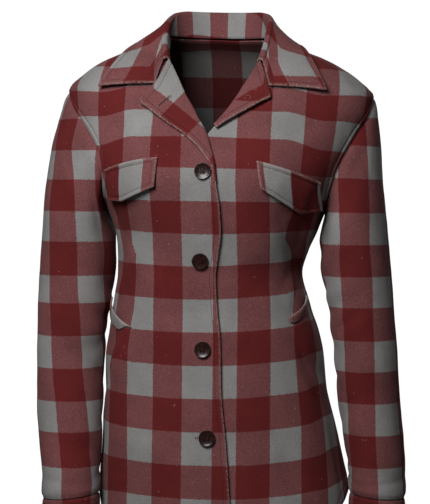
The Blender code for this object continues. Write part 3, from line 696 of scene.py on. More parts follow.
class Thread:
    """Rows of stitches, each laid from one modelled stitch."""

    LENGTH = 2.5
    PITCH = 3.3
    THICKNESS = 0.42

    def __init__(self) -> None:
        """Model one stitch: a ball drawn out into a short thread."""
        bpy.ops.object.select_all(action="DESELECT")
        bpy.ops.mesh.primitive_uv_sphere_add(segments=6, ring_count=5, radius=1.0)
        stitch = bpy.context.object
        bpy.ops.object.mode_set(mode="EDIT")
        bpy.ops.mesh.select_all(action="SELECT")
        bpy.ops.transform.rotate(value=math.radians(90.0), orient_axis="Y", center_override=(0.0, 0.0, 0.0))
        bpy.ops.object.mode_set(mode="OBJECT")
        self.places = [vert.co.copy() for vert in stitch.data.vertices]
        self.faces = [tuple(face.vertices) for face in stitch.data.polygons]
        bpy.data.objects.remove(stitch)

    def sew(self, name: str, rows: Iterable[Sequence[Spot]]) -> bpy.types.Object:
        """Lay stitches along rows of places.

        Args:
            name: Name of the joined piece.
            rows: Each row as places with the cloth's normals, in millimetres.

        Returns:
            All the stitches as one piece.
        """
        places: List[Vector] = []
        faces: List[Tuple[int, ...]] = []
        for row in rows:
            points = [BODY.lean(place) for place, _ in row]
            normals = [normal for _, normal in row]
            travelled = travel(points)
            for n in range(int(travelled[-1] / self.PITCH)):
                start = (n + 0.12) * self.PITCH
                ends = []
                for distance in (start, start + self.LENGTH):
                    k = min(bisect_right(travelled, distance), len(points) - 1) - 1
                    span = max(travelled[k + 1] - travelled[k], 1e-6)
                    share = min((distance - travelled[k]) / span, 1.0)
                    ends.append((points[k].lerp(points[k + 1], share), normals[k]))
                self._lay(places, faces, ends[0][0], ends[1][0], ends[0][1], 1.0)
        return joined(name, places, faces)

    def _lay(
        self, places: List[Vector], faces: List[Tuple[int, ...]], start: Vector,
        end: Vector, normal: Vector, scale: float,
    ) -> None:
        """Add one stitch between two places."""
        run = end - start
        if run.length < 1e-4:
            return
        along = run.normalized()
        across = along.cross(normal).normalized()
        up = across.cross(along).normalized()
        middle = (start + end) / 2.0 + up * self.THICKNESS * scale * 0.25
        first = len(places)
        half = run.length / 2.0
        thick = self.THICKNESS * scale
        for place in self.places:
            places.append(
                middle + along * place.x * half + across * place.y * thick
                + up * place.z * thick * 0.8
            )
        faces.extend(tuple(first + corner for corner in face) for face in self.faces)

    def bars(self, name: str, bars: Iterable[Bar], scale: float) -> bpy.types.Object:
        """Lay single threads, each from one place to another.

        Args:
            name: Name of the joined piece.
            bars: Start, end and outward normal of each thread, in millimetres.
            scale: Thickness against the usual.

        Returns:
            The threads as one piece.
        """
        places: List[Vector] = []
        faces: List[Tuple[int, ...]] = []
        for start, end, normal in bars:
            self._lay(places, faces, start, end, normal, scale)
        return joined(name, places, faces)


def linked(name: str, data: bpy.types.ID) -> bpy.types.Object:
    """Make an object of some data and put it in the scene."""
    made = bpy.data.objects.new(name, data)
    bpy.context.scene.collection.objects.link(made)
    return made


def joined(name: str, places: Sequence[Vector], faces: Sequence[Tuple[int, ...]]) -> bpy.types.Object:
    """Make one smooth piece from places in millimetres and their faces."""
    mesh = bpy.data.meshes.new(name)
    mesh.from_pydata([place * MM for place in places], [], faces)
    mesh.shade_smooth()
    return linked(name, mesh)


def distance_map(face: Grid, *borders: Sequence[Vector]) -> List[List[float]]:
    """Measure how far each place of a grid lies from some lines of places.

    Args:
        face: The grid.
        borders: The lines.

    Returns:
        Distances by row and column, none greater than what matters.
    """
    places = [place for border in borders for place in refine(border)]
    tree = KDTree(len(places))
    for number, place in enumerate(places):
        tree.insert(place, number)
    tree.balance()
    return [[min(tree.find(place)[2], FAR_AWAY) for place in line] for line in face]


def refine(line: Sequence[Vector]) -> List[Vector]:
    """Add places to a line until they stand about a millimetre apart."""
    made = [line[0].copy()]
    for before, after in zip(line, line[1:]):
        count = max(1, int((after - before).length))
        made += [before.lerp(after, k / count) for k in range(1, count + 1)]
    return made


def contour(
    grid: ClothGrid, away: List[List[float]], level: float, shortest: float = 12.0,
) -> List[List[Spot]]:
    """Follow the line on a cloth's face that keeps one distance from an edge.

    Args:
        grid: The cloth.
        away: Distance from the edge at each place.
        level: Distance to follow.
        shortest: Lines shorter than this are dropped.

    Returns:
        Lines of places with the cloth's normals.
    """
    normals = grid.turned()
    rows, columns = len(away), len(away[0])
    links: Dict[Tuple[str, int, int], List[Tuple[str, int, int]]] = {}
    found: Dict[Tuple[str, int, int], Spot] = {}

    def crossing(key: Tuple[str, int, int], a: Tuple[int, int], b: Tuple[int, int]) -> bool:
        """Note where the line cuts the side between two places, and say whether it does."""
        one, two = away[a[0]][a[1]] - level, away[b[0]][b[1]] - level
        if (one < 0.0) == (two < 0.0):
            return False
        if key not in found:
            share = one / (one - two)
            found[key] = (grid.face[a[0]][a[1]].lerp(grid.face[b[0]][b[1]], share), normals[a[0]][a[1]])
        return True

    reach = columns if grid.wraps else columns - 1
    for i in range(rows - 1):
        for j in range(reach):
            k = (j + 1) % columns
            sides = (
                (("h", i, j), (i, j), (i, k)), (("h", i + 1, j), (i + 1, j), (i + 1, k)),
                (("v", i, j), (i, j), (i + 1, j)), (("v", i, k), (i, k), (i + 1, k)),
            )
            cut = [key for key, a, b in sides if crossing(key, a, b)]
            for one, two in zip(cut[::2], cut[1::2]):
                links.setdefault(one, []).append(two)
                links.setdefault(two, []).append(one)
    lines = []
    left = set(links)
    starts = sorted(key for key in links if len(links[key]) == 1) + sorted(links)
    for start in starts:
        if start not in left:
            continue
        chain = [start]
        left.discard(start)
        while True:
            following = [key for key in links[chain[-1]] if key in left]
            if not following:
                break
            chain.append(following[0])
            left.discard(following[0])
        line = [found[key] for key in chain]
        if travel(place for place, _ in line)[-1] > shortest:
            lines.append(line)
    return lines


def row_weave(face: Grid, start: float, start_row: int) -> List[List[float]]:
    """Measure down the cloth from one row, along the cloth and across its rows.

    Args:
        face: The grid of places.
        start: Value of the starting row.
        start_row: Row from which the cloth is measured.

    Returns:
        The distance down the cloth at each place.
    """
    rows, columns = len(face), len(face[0])
    values = [[0.0] * columns for _ in range(rows)]
    values[start_row] = [start] * columns
    for step in (1, -1):
        i = start_row + step
        while 0 <= i < rows:
            for j in range(columns):
                move = face[i][j] - face[i - step][j]
                after = face[i - step][min(j + 1, columns - 1)]
                run = (after - face[i - step][max(j - 1, 0)]).normalized()
                length = (move - run * move.dot(run)).length
                values[i][j] = values[i - step][j] + step * length
            i += step
    return values


# Cloth of the fronts eased in by height, above the chest
EASED = SmoothTable((-150.0, -110.0, -78.0, -39.0, 17.0), (0.0, 3.5, 8.0, 21.0, 36.0))


@dataclass
class BodyPanels:
    """The two fronts and the back, with their darts, placket, seams and hem."""

    cloth: float = 2.2
    spacing: float = 4.0
    front_columns: int = 84
    back_columns: int = 110
    crowding: float = 0.55
    seam_gap: float = 0.35
    row_start: float = -172.5
    column_start: Dict[int, float] = field(default_factory=lambda: {-1: 7.8, 1: 41.0})
    column_width: Dict[int, float] = field(default_factory=lambda: {-1: 43.3, 1: 47.0})
    armhole_ease: float = 15.0
    placket_lift: float = 3.6
    placket_stitch: float = 8.0
    placket_top: float = -190.0
    wear_and_highlight_top: float = -150.0
    hem_stitch: float = 11.0
    armhole_stitch: float = 7.5
    stitching: List[List[Spot]] = field(default_factory=list)

    def slack_above(self, place: Vector) -> float:
        """Cloth eased in above the chest, toward the shoulder and the armhole."""
        near_arm = smooth_step(105.0, 160.0, abs(place.x)) * smooth_step(-215.0, -150.0, place.z)
        drop = near_arm * (1.0 - smooth_step(-60.0, -30.0, place.z))
        return (EASED(place.z) if place.z > -150.0 else 0.0) + self.armhole_ease * drop

    def share(self, j: int, columns: int) -> float:
        """Place of a column across a panel, packed toward both borders."""
        t = j / (columns - 1)
        return t - self.crowding * math.sin(2.0 * math.pi * t) / (2.0 * math.pi)

    def arc_to(self, z: float, angle: float) -> float:
        """Length of the level's curve from the middle plane to an angle."""
        start = BODY.angle_at(-BODY.centre(z), z)
        steps = 24
        total = 0.0
        before = BODY.point(start, z)
        for k in range(1, steps + 1):
            place = BODY.point(start + (angle - start) * k / steps, z)
            total += math.hypot(place.x - before.x, place.y - before.y)
            before = place
        return math.copysign(total, angle - start)

    def borders(self, face: Grid, rows: Sequence[float], ends: Sequence[int]) -> Iterable[List[List[float]]]:
        """Map the distance from a panel's armholes, side seams and hem.

        Args:
            face: The panel.
            rows: Heights of its rows.
            ends: Columns at which it meets another piece.

        Returns:
            The three maps.
        """
        def stretch(end: int, low: float, high: float) -> List[Vector]:
            """Places of one end column between two heights."""
            return [line[end] for line, z in zip(face, rows) if low <= z <= high]

        yield distance_map(face, *[stretch(end, BODY.UNDERARM_Z, BODY.TIP_Z) for end in ends])
        yield distance_map(face, *[stretch(end, BODY.HEM_Z, BODY.UNDERARM_Z) for end in ends])
        yield distance_map(face, face[-1])

    def seam_relief(self, arm: float, seam: float) -> float:
        """Raised seam allowance and the dents of the seams, by the distances from them."""
        move = 1.0 - smooth_step(5.5, 9.5, arm) + groove(arm, self.armhole_stitch, 1.0, 1.5)
        return move - 1.1 * bell(arm / 1.8) - 0.9 * bell(seam / 2.2)

    def front(self, side: Side) -> ClothGrid:
        """Lay one front over its form.

        Args:
            side: The wearer's side; the right front lies on top.

        Returns:
            The front's cloth.
        """
        sign = side.value
        dart = next(dart for dart in DARTS if dart.side == sign)
        face, weave_u = [], []
        rows = BODY.rows(self.spacing)
        for row_z in rows:
            end = 90.0 - BODY.opening(row_z, BODY.FRONT_REACH[sign])
            start = BODY.angle_at(BODY.edge[sign](row_z), row_z)
            line = []
            for j in range(self.front_columns):
                angle = start + (end - start) * self.share(j, self.front_columns)
                z = BODY.hem_height(angle, row_z)
                place = BODY.point(sign * angle, z)
                if side is Side.LEFT:
                    reach = smooth_step(*BODY.UNDER_BLEND, place.x - BODY.centre(z))
                    place = BODY.point(sign * angle, z, -BODY.UNDER_DEPTH * (1.0 - reach))
                line.append(place)
            line[-1].y -= self.seam_gap / 2.0
            face.append(line)
            first_u = self.arc_to(row_z, sign * start) - self.column_start[sign]
            weave_u.append([
                (first_u + sign * (run + dart.taken(place.x, place.z)[0]))
                * BLOCK_WIDTH / self.column_width[sign]
                for run, place in zip(travel(line, level=True), line)
            ])
        start_row = min(range(len(rows)), key=lambda i: abs(rows[i] - self.row_start))
        weave_v = row_weave(face, self.row_start - rows[start_row], start_row)
        weave = [
            [(u, v - self.slack_above(place)) for u, v, place in zip(us, vs, line)]
            for us, vs, line in zip(weave_u, weave_v, face)
        ]
        grid = ClothGrid(
            face=face, weave=weave,
            thickness=self.cloth, inside=WITHIN,
            top=Border.SEAM, right=Border.SEAM,
        )
        edge = distance_map(face, [line[0] for line, z in zip(face, rows) if z < self.placket_top])
        arm, seam, low = self.borders(face, rows, (-1,))
        lift = self.placket_lift if side is Side.RIGHT else 0.0

        def relief(i: int, j: int) -> float:
            """Move outward of the place in one row and column."""
            place = face[i][j]
            move = lift * bell(edge[i][j] / 9.0)
            move += groove(edge[i][j], self.placket_stitch, 0.55, 1.6)
            move += groove(low[i][j], self.hem_stitch, 0.5, 1.8)
            move += self.seam_relief(arm[i][j], seam[i][j])
            taken, off = dart.taken(place.x, place.z)
            if -430.0 < place.z < -222.0 and abs(off) < 8.0:
                ends = smooth_step(-430.0, -400.0, place.z) * smooth_step(-222.0, -246.0, place.z)
                move -= 1.1 * ends * bell(off / 1.7)
            calm = smooth_step(0.0, 14.0, min(edge[i][j], arm[i][j], seam[i][j]))
            move += calm * undulation(place, 46.0, 1.5, 3.0 * sign)
            move += calm * undulation(place, 17.0, 0.45, 9.0 * sign)
            return move

        grid.press(relief)
        grid.edge_wear_and_highlight(1.5)
        # No pale edge of abraded nap and painted highlight along the placket above this height.
        for line, worn_and_lit in zip(face, grid.wear):
            if line[0].z > self.wear_and_highlight_top:
                worn_and_lit[0] = 0.0
        self.stitching += contour(grid, edge, self.placket_stitch)
        self.stitching += contour(grid, low, self.hem_stitch)
        self.stitching += contour(grid, arm, self.armhole_stitch)
        return grid

    def back(self) -> ClothGrid:
        """Lay the back over its form, from one side round to the other.

        Returns:
            The back's cloth.
        """
        rows = BODY.rows(self.spacing)
        face, weave_u = [], []
        for row_z in rows:
            start = 90.0 + BODY.opening(row_z, BODY.BACK_REACH[1])
            end = 270.0 - BODY.opening(row_z, BODY.BACK_REACH[-1])
            line = []
            for j in range(self.back_columns):
                angle = start + (end - start) * self.share(j, self.back_columns)
                signed = angle if angle <= 180.0 else angle - 360.0
                line.append(BODY.point(signed, BODY.hem_height(signed, row_z)))
            for j in (0, -1):
                line[j].y += self.seam_gap / 2.0
            travelled = travel(line, level=True)
            crossing = min(range(len(line)), key=lambda j: abs(line[j].x))
            middle = travelled[crossing] + line[crossing].x
            weave_u.append([middle - u + BLOCK_WIDTH / 2.0 for u in travelled])
            face.append(line)
        start_row = min(range(len(rows)), key=lambda i: abs(rows[i] - self.row_start))
        weave_v = row_weave(face, self.row_start - rows[start_row], start_row)
        grid = ClothGrid(
            face=face, weave=[list(zip(us, vs)) for us, vs in zip(weave_u, weave_v)],
            thickness=self.cloth, inside=WITHIN,
            top=Border.SEAM, left=Border.SEAM, right=Border.SEAM,
        )
        arm, seam, low = self.borders(face, rows, (0, -1))

        def relief(i: int, j: int) -> float:
            """Move outward of the place in one row and column."""
            place = face[i][j]
            move = groove(low[i][j], self.hem_stitch, 0.5, 1.8)
            move += self.seam_relief(arm[i][j], seam[i][j])
            calm = smooth_step(0.0, 14.0, min(arm[i][j], seam[i][j]))
            move += calm * undulation(place, 52.0, 1.7, 21.0)
            move += calm * undulation(place, 19.0, 0.5, 33.0)
            return move

        grid.press(relief)
        grid.edge_wear_and_highlight(1.5)
        self.stitching += contour(grid, low, self.hem_stitch)
        self.stitching += contour(grid, arm, self.armhole_stitch)
        return grid


# Rings down each sleeve: outer x and z, inner x and z, middle y and half depth
RINGS: Dict[int, Tuple[Tuple[float, float, float, float, float, float], ...]] = {
    -1: (
        (222, -61, 161, -228, -8, 74), (231, -82, 161.5, -238, -9, 73), (243, -125, 156.5, -252, -9, 70),
        (251.5, -182, 151, -272, -9, 66), (257, -245, 150.5, -303, -9, 62), (261, -322, 155, -350, -11, 58),
        (262.5, -372, 157.5, -385, -15, 56), (262.5, -420, 162.5, -424, -23, 54),
        (261.5, -470, 165, -467, -32, 52), (258.5, -520, 163.5, -513, -42, 50),
        (252.5, -562, 162.5, -555, -54, 48), (245.5, -602, 162, -596, -67, 46),
        (242, -640, 162, -633, -78, 45),
    ),
    1: (
        (222, -61, 161, -228, 6, 74), (227.5, -82, 159, -238, 6, 73), (233, -125, 152, -255, 5, 70),
        (237, -182, 147, -280, 3, 66), (241.5, -245, 147, -308, 1, 62), (249, -322, 154.5, -350, -1, 58),
        (253, -372, 159, -385, -2, 56), (256.5, -420, 164, -428, -3, 54), (260, -470, 170, -475, -4, 52),
        (264, -520, 176, -523, -5, 50), (267.5, -562, 182, -565, -7, 48), (269.5, -602, 187, -600, -9, 46),
        (269, -641, 190.5, -634, -11, 45),
    ),
}


@dataclass(frozen=True)
class SleeveCrease:
    """Soft fold across a sleeve: place down it and round it, reach, depth and slant."""

    along: float
    angle: float
    length: float
    span: float
    depth: float
    slant: float


# Each sleeve's folds, in the order of the fields above
SLEEVE_CREASES: Dict[int, Tuple[Tuple[float, ...], ...]] = {
    -1: (
        (0.50, 150, 0.035, 60, 4, 0.03), (0.60, 120, 0.030, 55, 3.5, -0.03), (0.30, 100, 0.040, 50, 3, 0.05),
        (0.48, 220, 0.035, 55, 4, -0.03), (0.22, 128, 0.060, 26, 3.2, 0.10),
        (0.40, 172, 0.022, 40, 2.6, 0.05), (0.55, 205, 0.020, 48, 2.6, -0.04),
        (0.66, 160, 0.022, 46, 2.4, 0.04), (0.76, 215, 0.025, 50, 2, -0.05),
        (0.86, 130, 0.022, 44, 1.8, 0.03), (0.955, 95, 0.014, 60, 1.6, 0.015),
        (0.93, 200, 0.016, 46, 1.8, -0.02), (0.16, 250, 0.050, 34, 3, 0.08),
        (0.36, 275, 0.026, 46, 2.2, -0.05), (0.62, 300, 0.024, 50, 1.8, 0.05),
        (0.84, 285, 0.022, 44, 1.7, 0.03), (0.72, 60, 0.040, 40, 1.2, 0.06),
    ),
    1: (
        (0.47, 140, 0.035, 60, 4, 0.03), (0.58, 165, 0.030, 50, 3.5, -0.02), (0.33, 215, 0.040, 55, 4, 0.04),
        (0.20, 130, 0.055, 26, 3, 0.09), (0.38, 150, 0.020, 42, 2.6, 0.05),
        (0.52, 120, 0.018, 40, 2.2, 0.03), (0.64, 190, 0.022, 48, 2.4, -0.05),
        (0.75, 150, 0.022, 42, 2, 0.04), (0.87, 195, 0.020, 46, 2, -0.03),
        (0.955, 80, 0.014, 62, 1.5, 0.012), (0.94, 170, 0.014, 40, 1.6, -0.02),
        (0.15, 245, 0.050, 36, 3, 0.08), (0.44, 280, 0.024, 48, 2.2, 0.05),
        (0.60, 255, 0.020, 46, 2.4, -0.04), (0.80, 300, 0.022, 44, 1.6, 0.04),
        (0.70, 45, 0.040, 38, 1.2, -0.05),
    ),
}


# Where each sleeve's grain runs: ring down the sleeve and place across the check
GRAINS: Dict[int, Tuple[Pair, ...]] = {
    -1: ((0.0, 92.0), (1.5, 74.3), (2.2, 55.8), (3.1, 43.3), (3.9, 36.5), (4.7, 32.3), (5.6, 28.1),
         (6.7, 21.1), (7.8, 15.5), (8.8, 10.0), (9.9, 6.8), (11.1, 4.2), (13.0, 3.0)),
    1: ((0.0, 9.0), (1.4, 11.6), (2.5, 12.0), (3.5, 13.5), (4.2, 17.4), (4.9, 20.6), (5.8, 24.2),
        (6.8, 26.8), (7.7, 30.3), (8.6, 33.8), (9.6, 38.2), (10.7, 40.6), (13.0, 41.0)),
}
# Where the check's rows lie on each sleeve: height and place down the check
CHECK_ROWS: Dict[int, Tuple[Pair, ...]] = {
    -1: ((-45.0, -118.0), (-68.0, -86.0), (-104.0, -46.0), (-149.0, 0.0), (-190.0, 46.0),
         (-234.0, 92.0), (-277.0, 138.0), (-325.0, 184.0), (-364.5, 230.0), (-411.0, 276.0),
         (-457.0, 322.0), (-503.0, 368.0), (-546.0, 414.0), (-594.0, 460.0), (-645.0, 510.0)),
    1: ((-45.0, -110.0), (-60.0, -85.0), (-92.0, -46.0), (-132.5, 0.0), (-181.0, 46.0),
        (-231.5, 92.0), (-279.0, 138.0), (-325.0, 184.0), (-368.7, 230.0), (-415.3, 276.0),
        (-459.0, 322.0), (-504.0, 368.0), (-549.0, 414.0), (-594.5, 460.0), (-645.0, 511.0)),
}
CUFF_CHECK = 512.0


@dataclass
class Sleeve:
    """One sleeve and its band cuff, lofted from the armhole down to the wrist."""

    side: Side
    columns: int = 104
    rows: int = 165
    cloth: float = 2.2
    folded: float = 3.0
    seam_gap: float = 0.35
    tip_gap: float = 0.7
    facing: Pair = (0.937, -0.348)
    cuff_depth: float = 62.0
    cuff_rows: int = 24
    weave_turn: float = 90.0
    stitching: List[List[Spot]] = field(default_factory=list)

    def __post_init__(self) -> None:
        """Make the tables that run down the sleeve."""
        self.grain = tables_of(GRAINS[self.side.value])[0]
        self.check_rows = tables_of(CHECK_ROWS[self.side.value])[0]
        self.tables = numbered(RINGS[self.side.value])
        self.last = len(RINGS[self.side.value]) - 1.0
        self.creases = [SleeveCrease(*row) for row in SLEEVE_CREASES[self.side.value]]

    def ring(self, place: float, turn: float) -> Spot:
        """Place on a plain ring and the ring's middle.

        Args:
            place: Position down the sleeve, in rings.
            turn: Turn from the outer side through the front.

        Returns:
            The place and the middle of the ring.
        """
        outer_x, outer_z, inner_x, inner_z, middle_y, depth = [table(place) for table in self.tables]
        sign = self.side.value
        middle = Vector((sign * (outer_x + inner_x) / 2.0, middle_y, (outer_z + inner_z) / 2.0))
        swing = math.cos(turn)
        return middle + Vector((
            sign * (outer_x - inner_x) / 2.0 * swing,
            -depth * math.sin(turn),
            (outer_z - inner_z) / 2.0 * swing,
        )), middle

    def relief(self, along: float, turn: float) -> float:
        """Depth of the folds at a place of the sleeve, negative inward."""
        total = 0.0
        angle = math.degrees(turn) % 360.0
        for crease in self.creases:
            off = (angle - crease.angle + 180.0) % 360.0 - 180.0
            round_share = off / crease.span
            if abs(round_share) > 2.6:
                continue
            down = (along - crease.along - crease.slant * round_share) / crease.length
            total -= crease.depth * bell(math.hypot(round_share, down))
        return total

    def tube(self) -> ClothGrid:
        """Lay the sleeve's cloth.

        Returns:
            The sleeve from the armhole's seam to the cuff's seam.
        """
        sign = self.side.value
        face, places = [], []
        for i in range(self.rows):
            share = i / (self.rows - 1)
            place = self.last * (share - 0.25 * math.sin(2.0 * math.pi * share) / (2.0 * math.pi))
            places.append(place)
            keep = 1.0 - smooth_step(0.0, 4.0, place)
            line = []
            for j in range(self.columns):
                turn = 2.0 * math.pi * j / self.columns
                point, middle = self.ring(place, turn)
                if keep > 0.0:
                    point += (BODY.armhole(sign, turn) - self.ring(0.0, turn)[0]) * keep
                outward = (point - middle).normalized()
                point += outward * self.relief(place / self.last, turn)
                if i == 0:
                    gap = self.seam_gap + self.tip_gap * max(math.cos(turn), 0.0) ** 6
                    point += Vector((sign * self.facing[0], 0.0, self.facing[1])) * gap
                line.append(point)
            face.append(line)
        weave = self.weave_of(
            face, [self.grain(place) for place in places], lambda place: self.check_rows(place.z)
        )
        grid = ClothGrid(
            face=face, weave=weave, thickness=self.cloth,
            inside=Vector((sign * 210.0, -8.0, -420.0)), wraps=True,
            top=Border.SEAM, bottom=Border.SEAM,
        )
        top = distance_map(face, face[0] + face[0][:1])
        low = distance_map(face, face[-1] + face[-1][:1])

        def relief(i: int, j: int) -> float:
            """Move outward of the place in one row and column."""
            place = face[i][j]
            head = smooth_step(1.2, 7.0, top[i][j]) * (1.0 - smooth_step(9.0, 26.0, top[i][j]))
            move = 1.2 * head - 0.9 * bell(top[i][j] / 2.0)
            bulge = smooth_step(1.0, 8.0, low[i][j]) * (1.0 - smooth_step(12.0, 34.0, low[i][j]))
            move += 2.0 * bulge - 0.8 * bell(low[i][j] / 2.0)
            calm = smooth_step(0.0, 14.0, min(top[i][j], low[i][j]))
            move += calm * undulation(place, 42.0, 1.6, 5.0 + 7.0 * sign)
            move += calm * undulation(place, 16.0, 0.5, 15.0 + 7.0 * sign)
            return move

        grid.press(relief)
        self.back_of_seams(grid)
        return grid

    def back_of_seams(self, grid: ClothGrid) -> None:
        """Turn the cloth's thickness at the armhole along the body's, so the walls part."""
        sign = self.side.value
        normals = grid.turned()
        back = [
            [place - normal * self.cloth for place, normal in zip(line, turned)]
            for line, turned in zip(grid.face, normals)
        ]
        shared = BODY.normal(90.0 * sign, BODY.TIP_Z + 4.0)
        for j in range(self.columns):
            turn = 2.0 * math.pi * j / self.columns
            share = max(math.cos(turn), 0.0) ** 0.5
            own = normals[0][j]
            direction = (shared * share + own * (1.0 - share)).normalized()
            back[0][j] = grid.face[0][j] - direction * self.cloth
            back[-1][j].z = grid.face[-1][j].z
        grid.back_face = back

    def weave_of(
        self, face: Grid, grain: Sequence[float], down_at: Callable[[Vector], float],
    ) -> List[List[Pair]]:
        """Measure the cloth round the sleeve from its front, and its rows by their height.

        Args:
            face: The sleeve's places.
            grain: Place across the check at the front of each row.
            down_at: Gives the place down the check.

        Returns:
            The weave's place at each place of the sleeve.
        """
        zero = round(self.weave_turn / 360.0 * self.columns)
        columns = self.columns
        sign = self.side.value
        weave = []
        for line, start in zip(face, grain):
            across = [0.0] * columns
            for step, count in ((1, columns // 2 + 1), (-1, columns - columns // 2)):
                total = 0.0
                for k in range(1, count):
                    j = (zero + step * k) % columns
                    move = line[j] - line[(j - step) % columns]
                    total += step * math.hypot(move.x, move.y)
                    across[j] = total
            weave.append([(start - sign * a, down_at(place)) for a, place in zip(across, line)])
        return weave

    def cuff(self) -> ClothGrid:
        """Lay the band cuff below the sleeve.

        Returns:
            The cuff's folded cloth.
        """
        sign = self.side.value
        swells = SmoothTable((0.0, 0.12, 0.5, 0.88, 1.0), (-0.6, 0.9, 1.2, 0.8, 0.2))
        face = []
        for i in range(self.cuff_rows):
            share = i / (self.cuff_rows - 1)
            share -= 0.3 * math.sin(2.0 * math.pi * share) / (2.0 * math.pi)
            line = []
            for j in range(self.columns):
                turn = 2.0 * math.pi * j / self.columns
                point, middle = self.ring(self.last, turn)
                middle.z = point.z
                point += (point - middle).normalized() * swells(share)
                point.z -= self.seam_gap + share * self.cuff_depth
                point.y -= share * 6.0
                line.append(point)
            face.append(line)
        top_z = face[0][0].z
        weave = self.weave_of(
            face, [self.grain(self.last)] * len(face), lambda place: CUFF_CHECK + top_z - place.z
        )
        grid = ClothGrid(
            face=face, weave=weave, thickness=self.folded,
            inside=Vector((sign * 210.0, -40.0, -670.0)), wraps=True,
            top=Border.SEAM, bottom=Border.FREE,
        )
        top = distance_map(face, face[0] + face[0][:1])
        low = distance_map(face, face[-1] + face[-1][:1])

        def relief(i: int, j: int) -> float:
            """Move outward of the place in one row and column."""
            place = face[i][j]
            move = groove(top[i][j], 6.5, 0.6, 1.5) + groove(low[i][j], 6.5, 0.6, 1.5)
            move -= 0.8 * bell(top[i][j] / 1.8)
            calm = smooth_step(0.0, 8.0, min(top[i][j], low[i][j]))
            return move + calm * undulation(place, 24.0, 0.8, 41.0 + sign)

        grid.press(relief)
        grid.edge_wear_and_highlight(1.5)
        self.stitching += contour(grid, top, 6.5)
        self.stitching += contour(grid, low, 6.5)
        return grid

    def cuff_overlap(self) -> Spot:
        """Place and outward way of the button on the back of the cuff."""
        sign = self.side.value
        turn = math.radians(250.0)
        place, middle = self.ring(self.last, turn)
        place.z -= self.cuff_depth * 0.5
        place.y -= 3.0
        middle = Vector((middle.x, middle.y - 3.0, place.z))
        outer_x, _, inner_x, _, _, depth = [table(self.last) for table in self.tables]
        normal = Vector((
            (place.x - middle.x) / ((outer_x - inner_x) / 2.0) ** 2,
            (place.y - middle.y) / depth ** 2,
            0.0,
        )).normalized()
        return place + normal * 2.4, normal


# From the centre back to each front end: seam, roll line and leaf edge, and its lift
COLLAR_STATIONS: Tuple[Tuple[float, ...], ...] = (
    (0, 57, 19.5, 0, 61, 54, 0, 93, -14, 0), (24, 54.5, 19.5, 25, 58, 54, 36, 90, -13.5, 0),
    (46, 46, 19.5, 48, 48.5, 54, 70, 82, -11.5, 0), (63, 31, 19.5, 65, 31, 50, 93, 62, -6, 0),
    (71.5, 14, 19.5, 71, 13, 41.5, 110, 34, 2, 0), (72, 0, 19.5, 72, -2, 34.5, 120, 4, 5.5, 0),
    (69.5, -13, 12, 71.5, -16, 25, 130, -22, -4, 0.5), (68, -27, 2.5, 70.5, -31, 12, 140, -42, -23, 1.5),
    (66, -43, -8, 68.5, -46, -3, 150.5, -58, -43, 3),
    (63, -56, -19.5, 65.5, -59.5, -17.5, 159.5, -70, -60, 5),
)


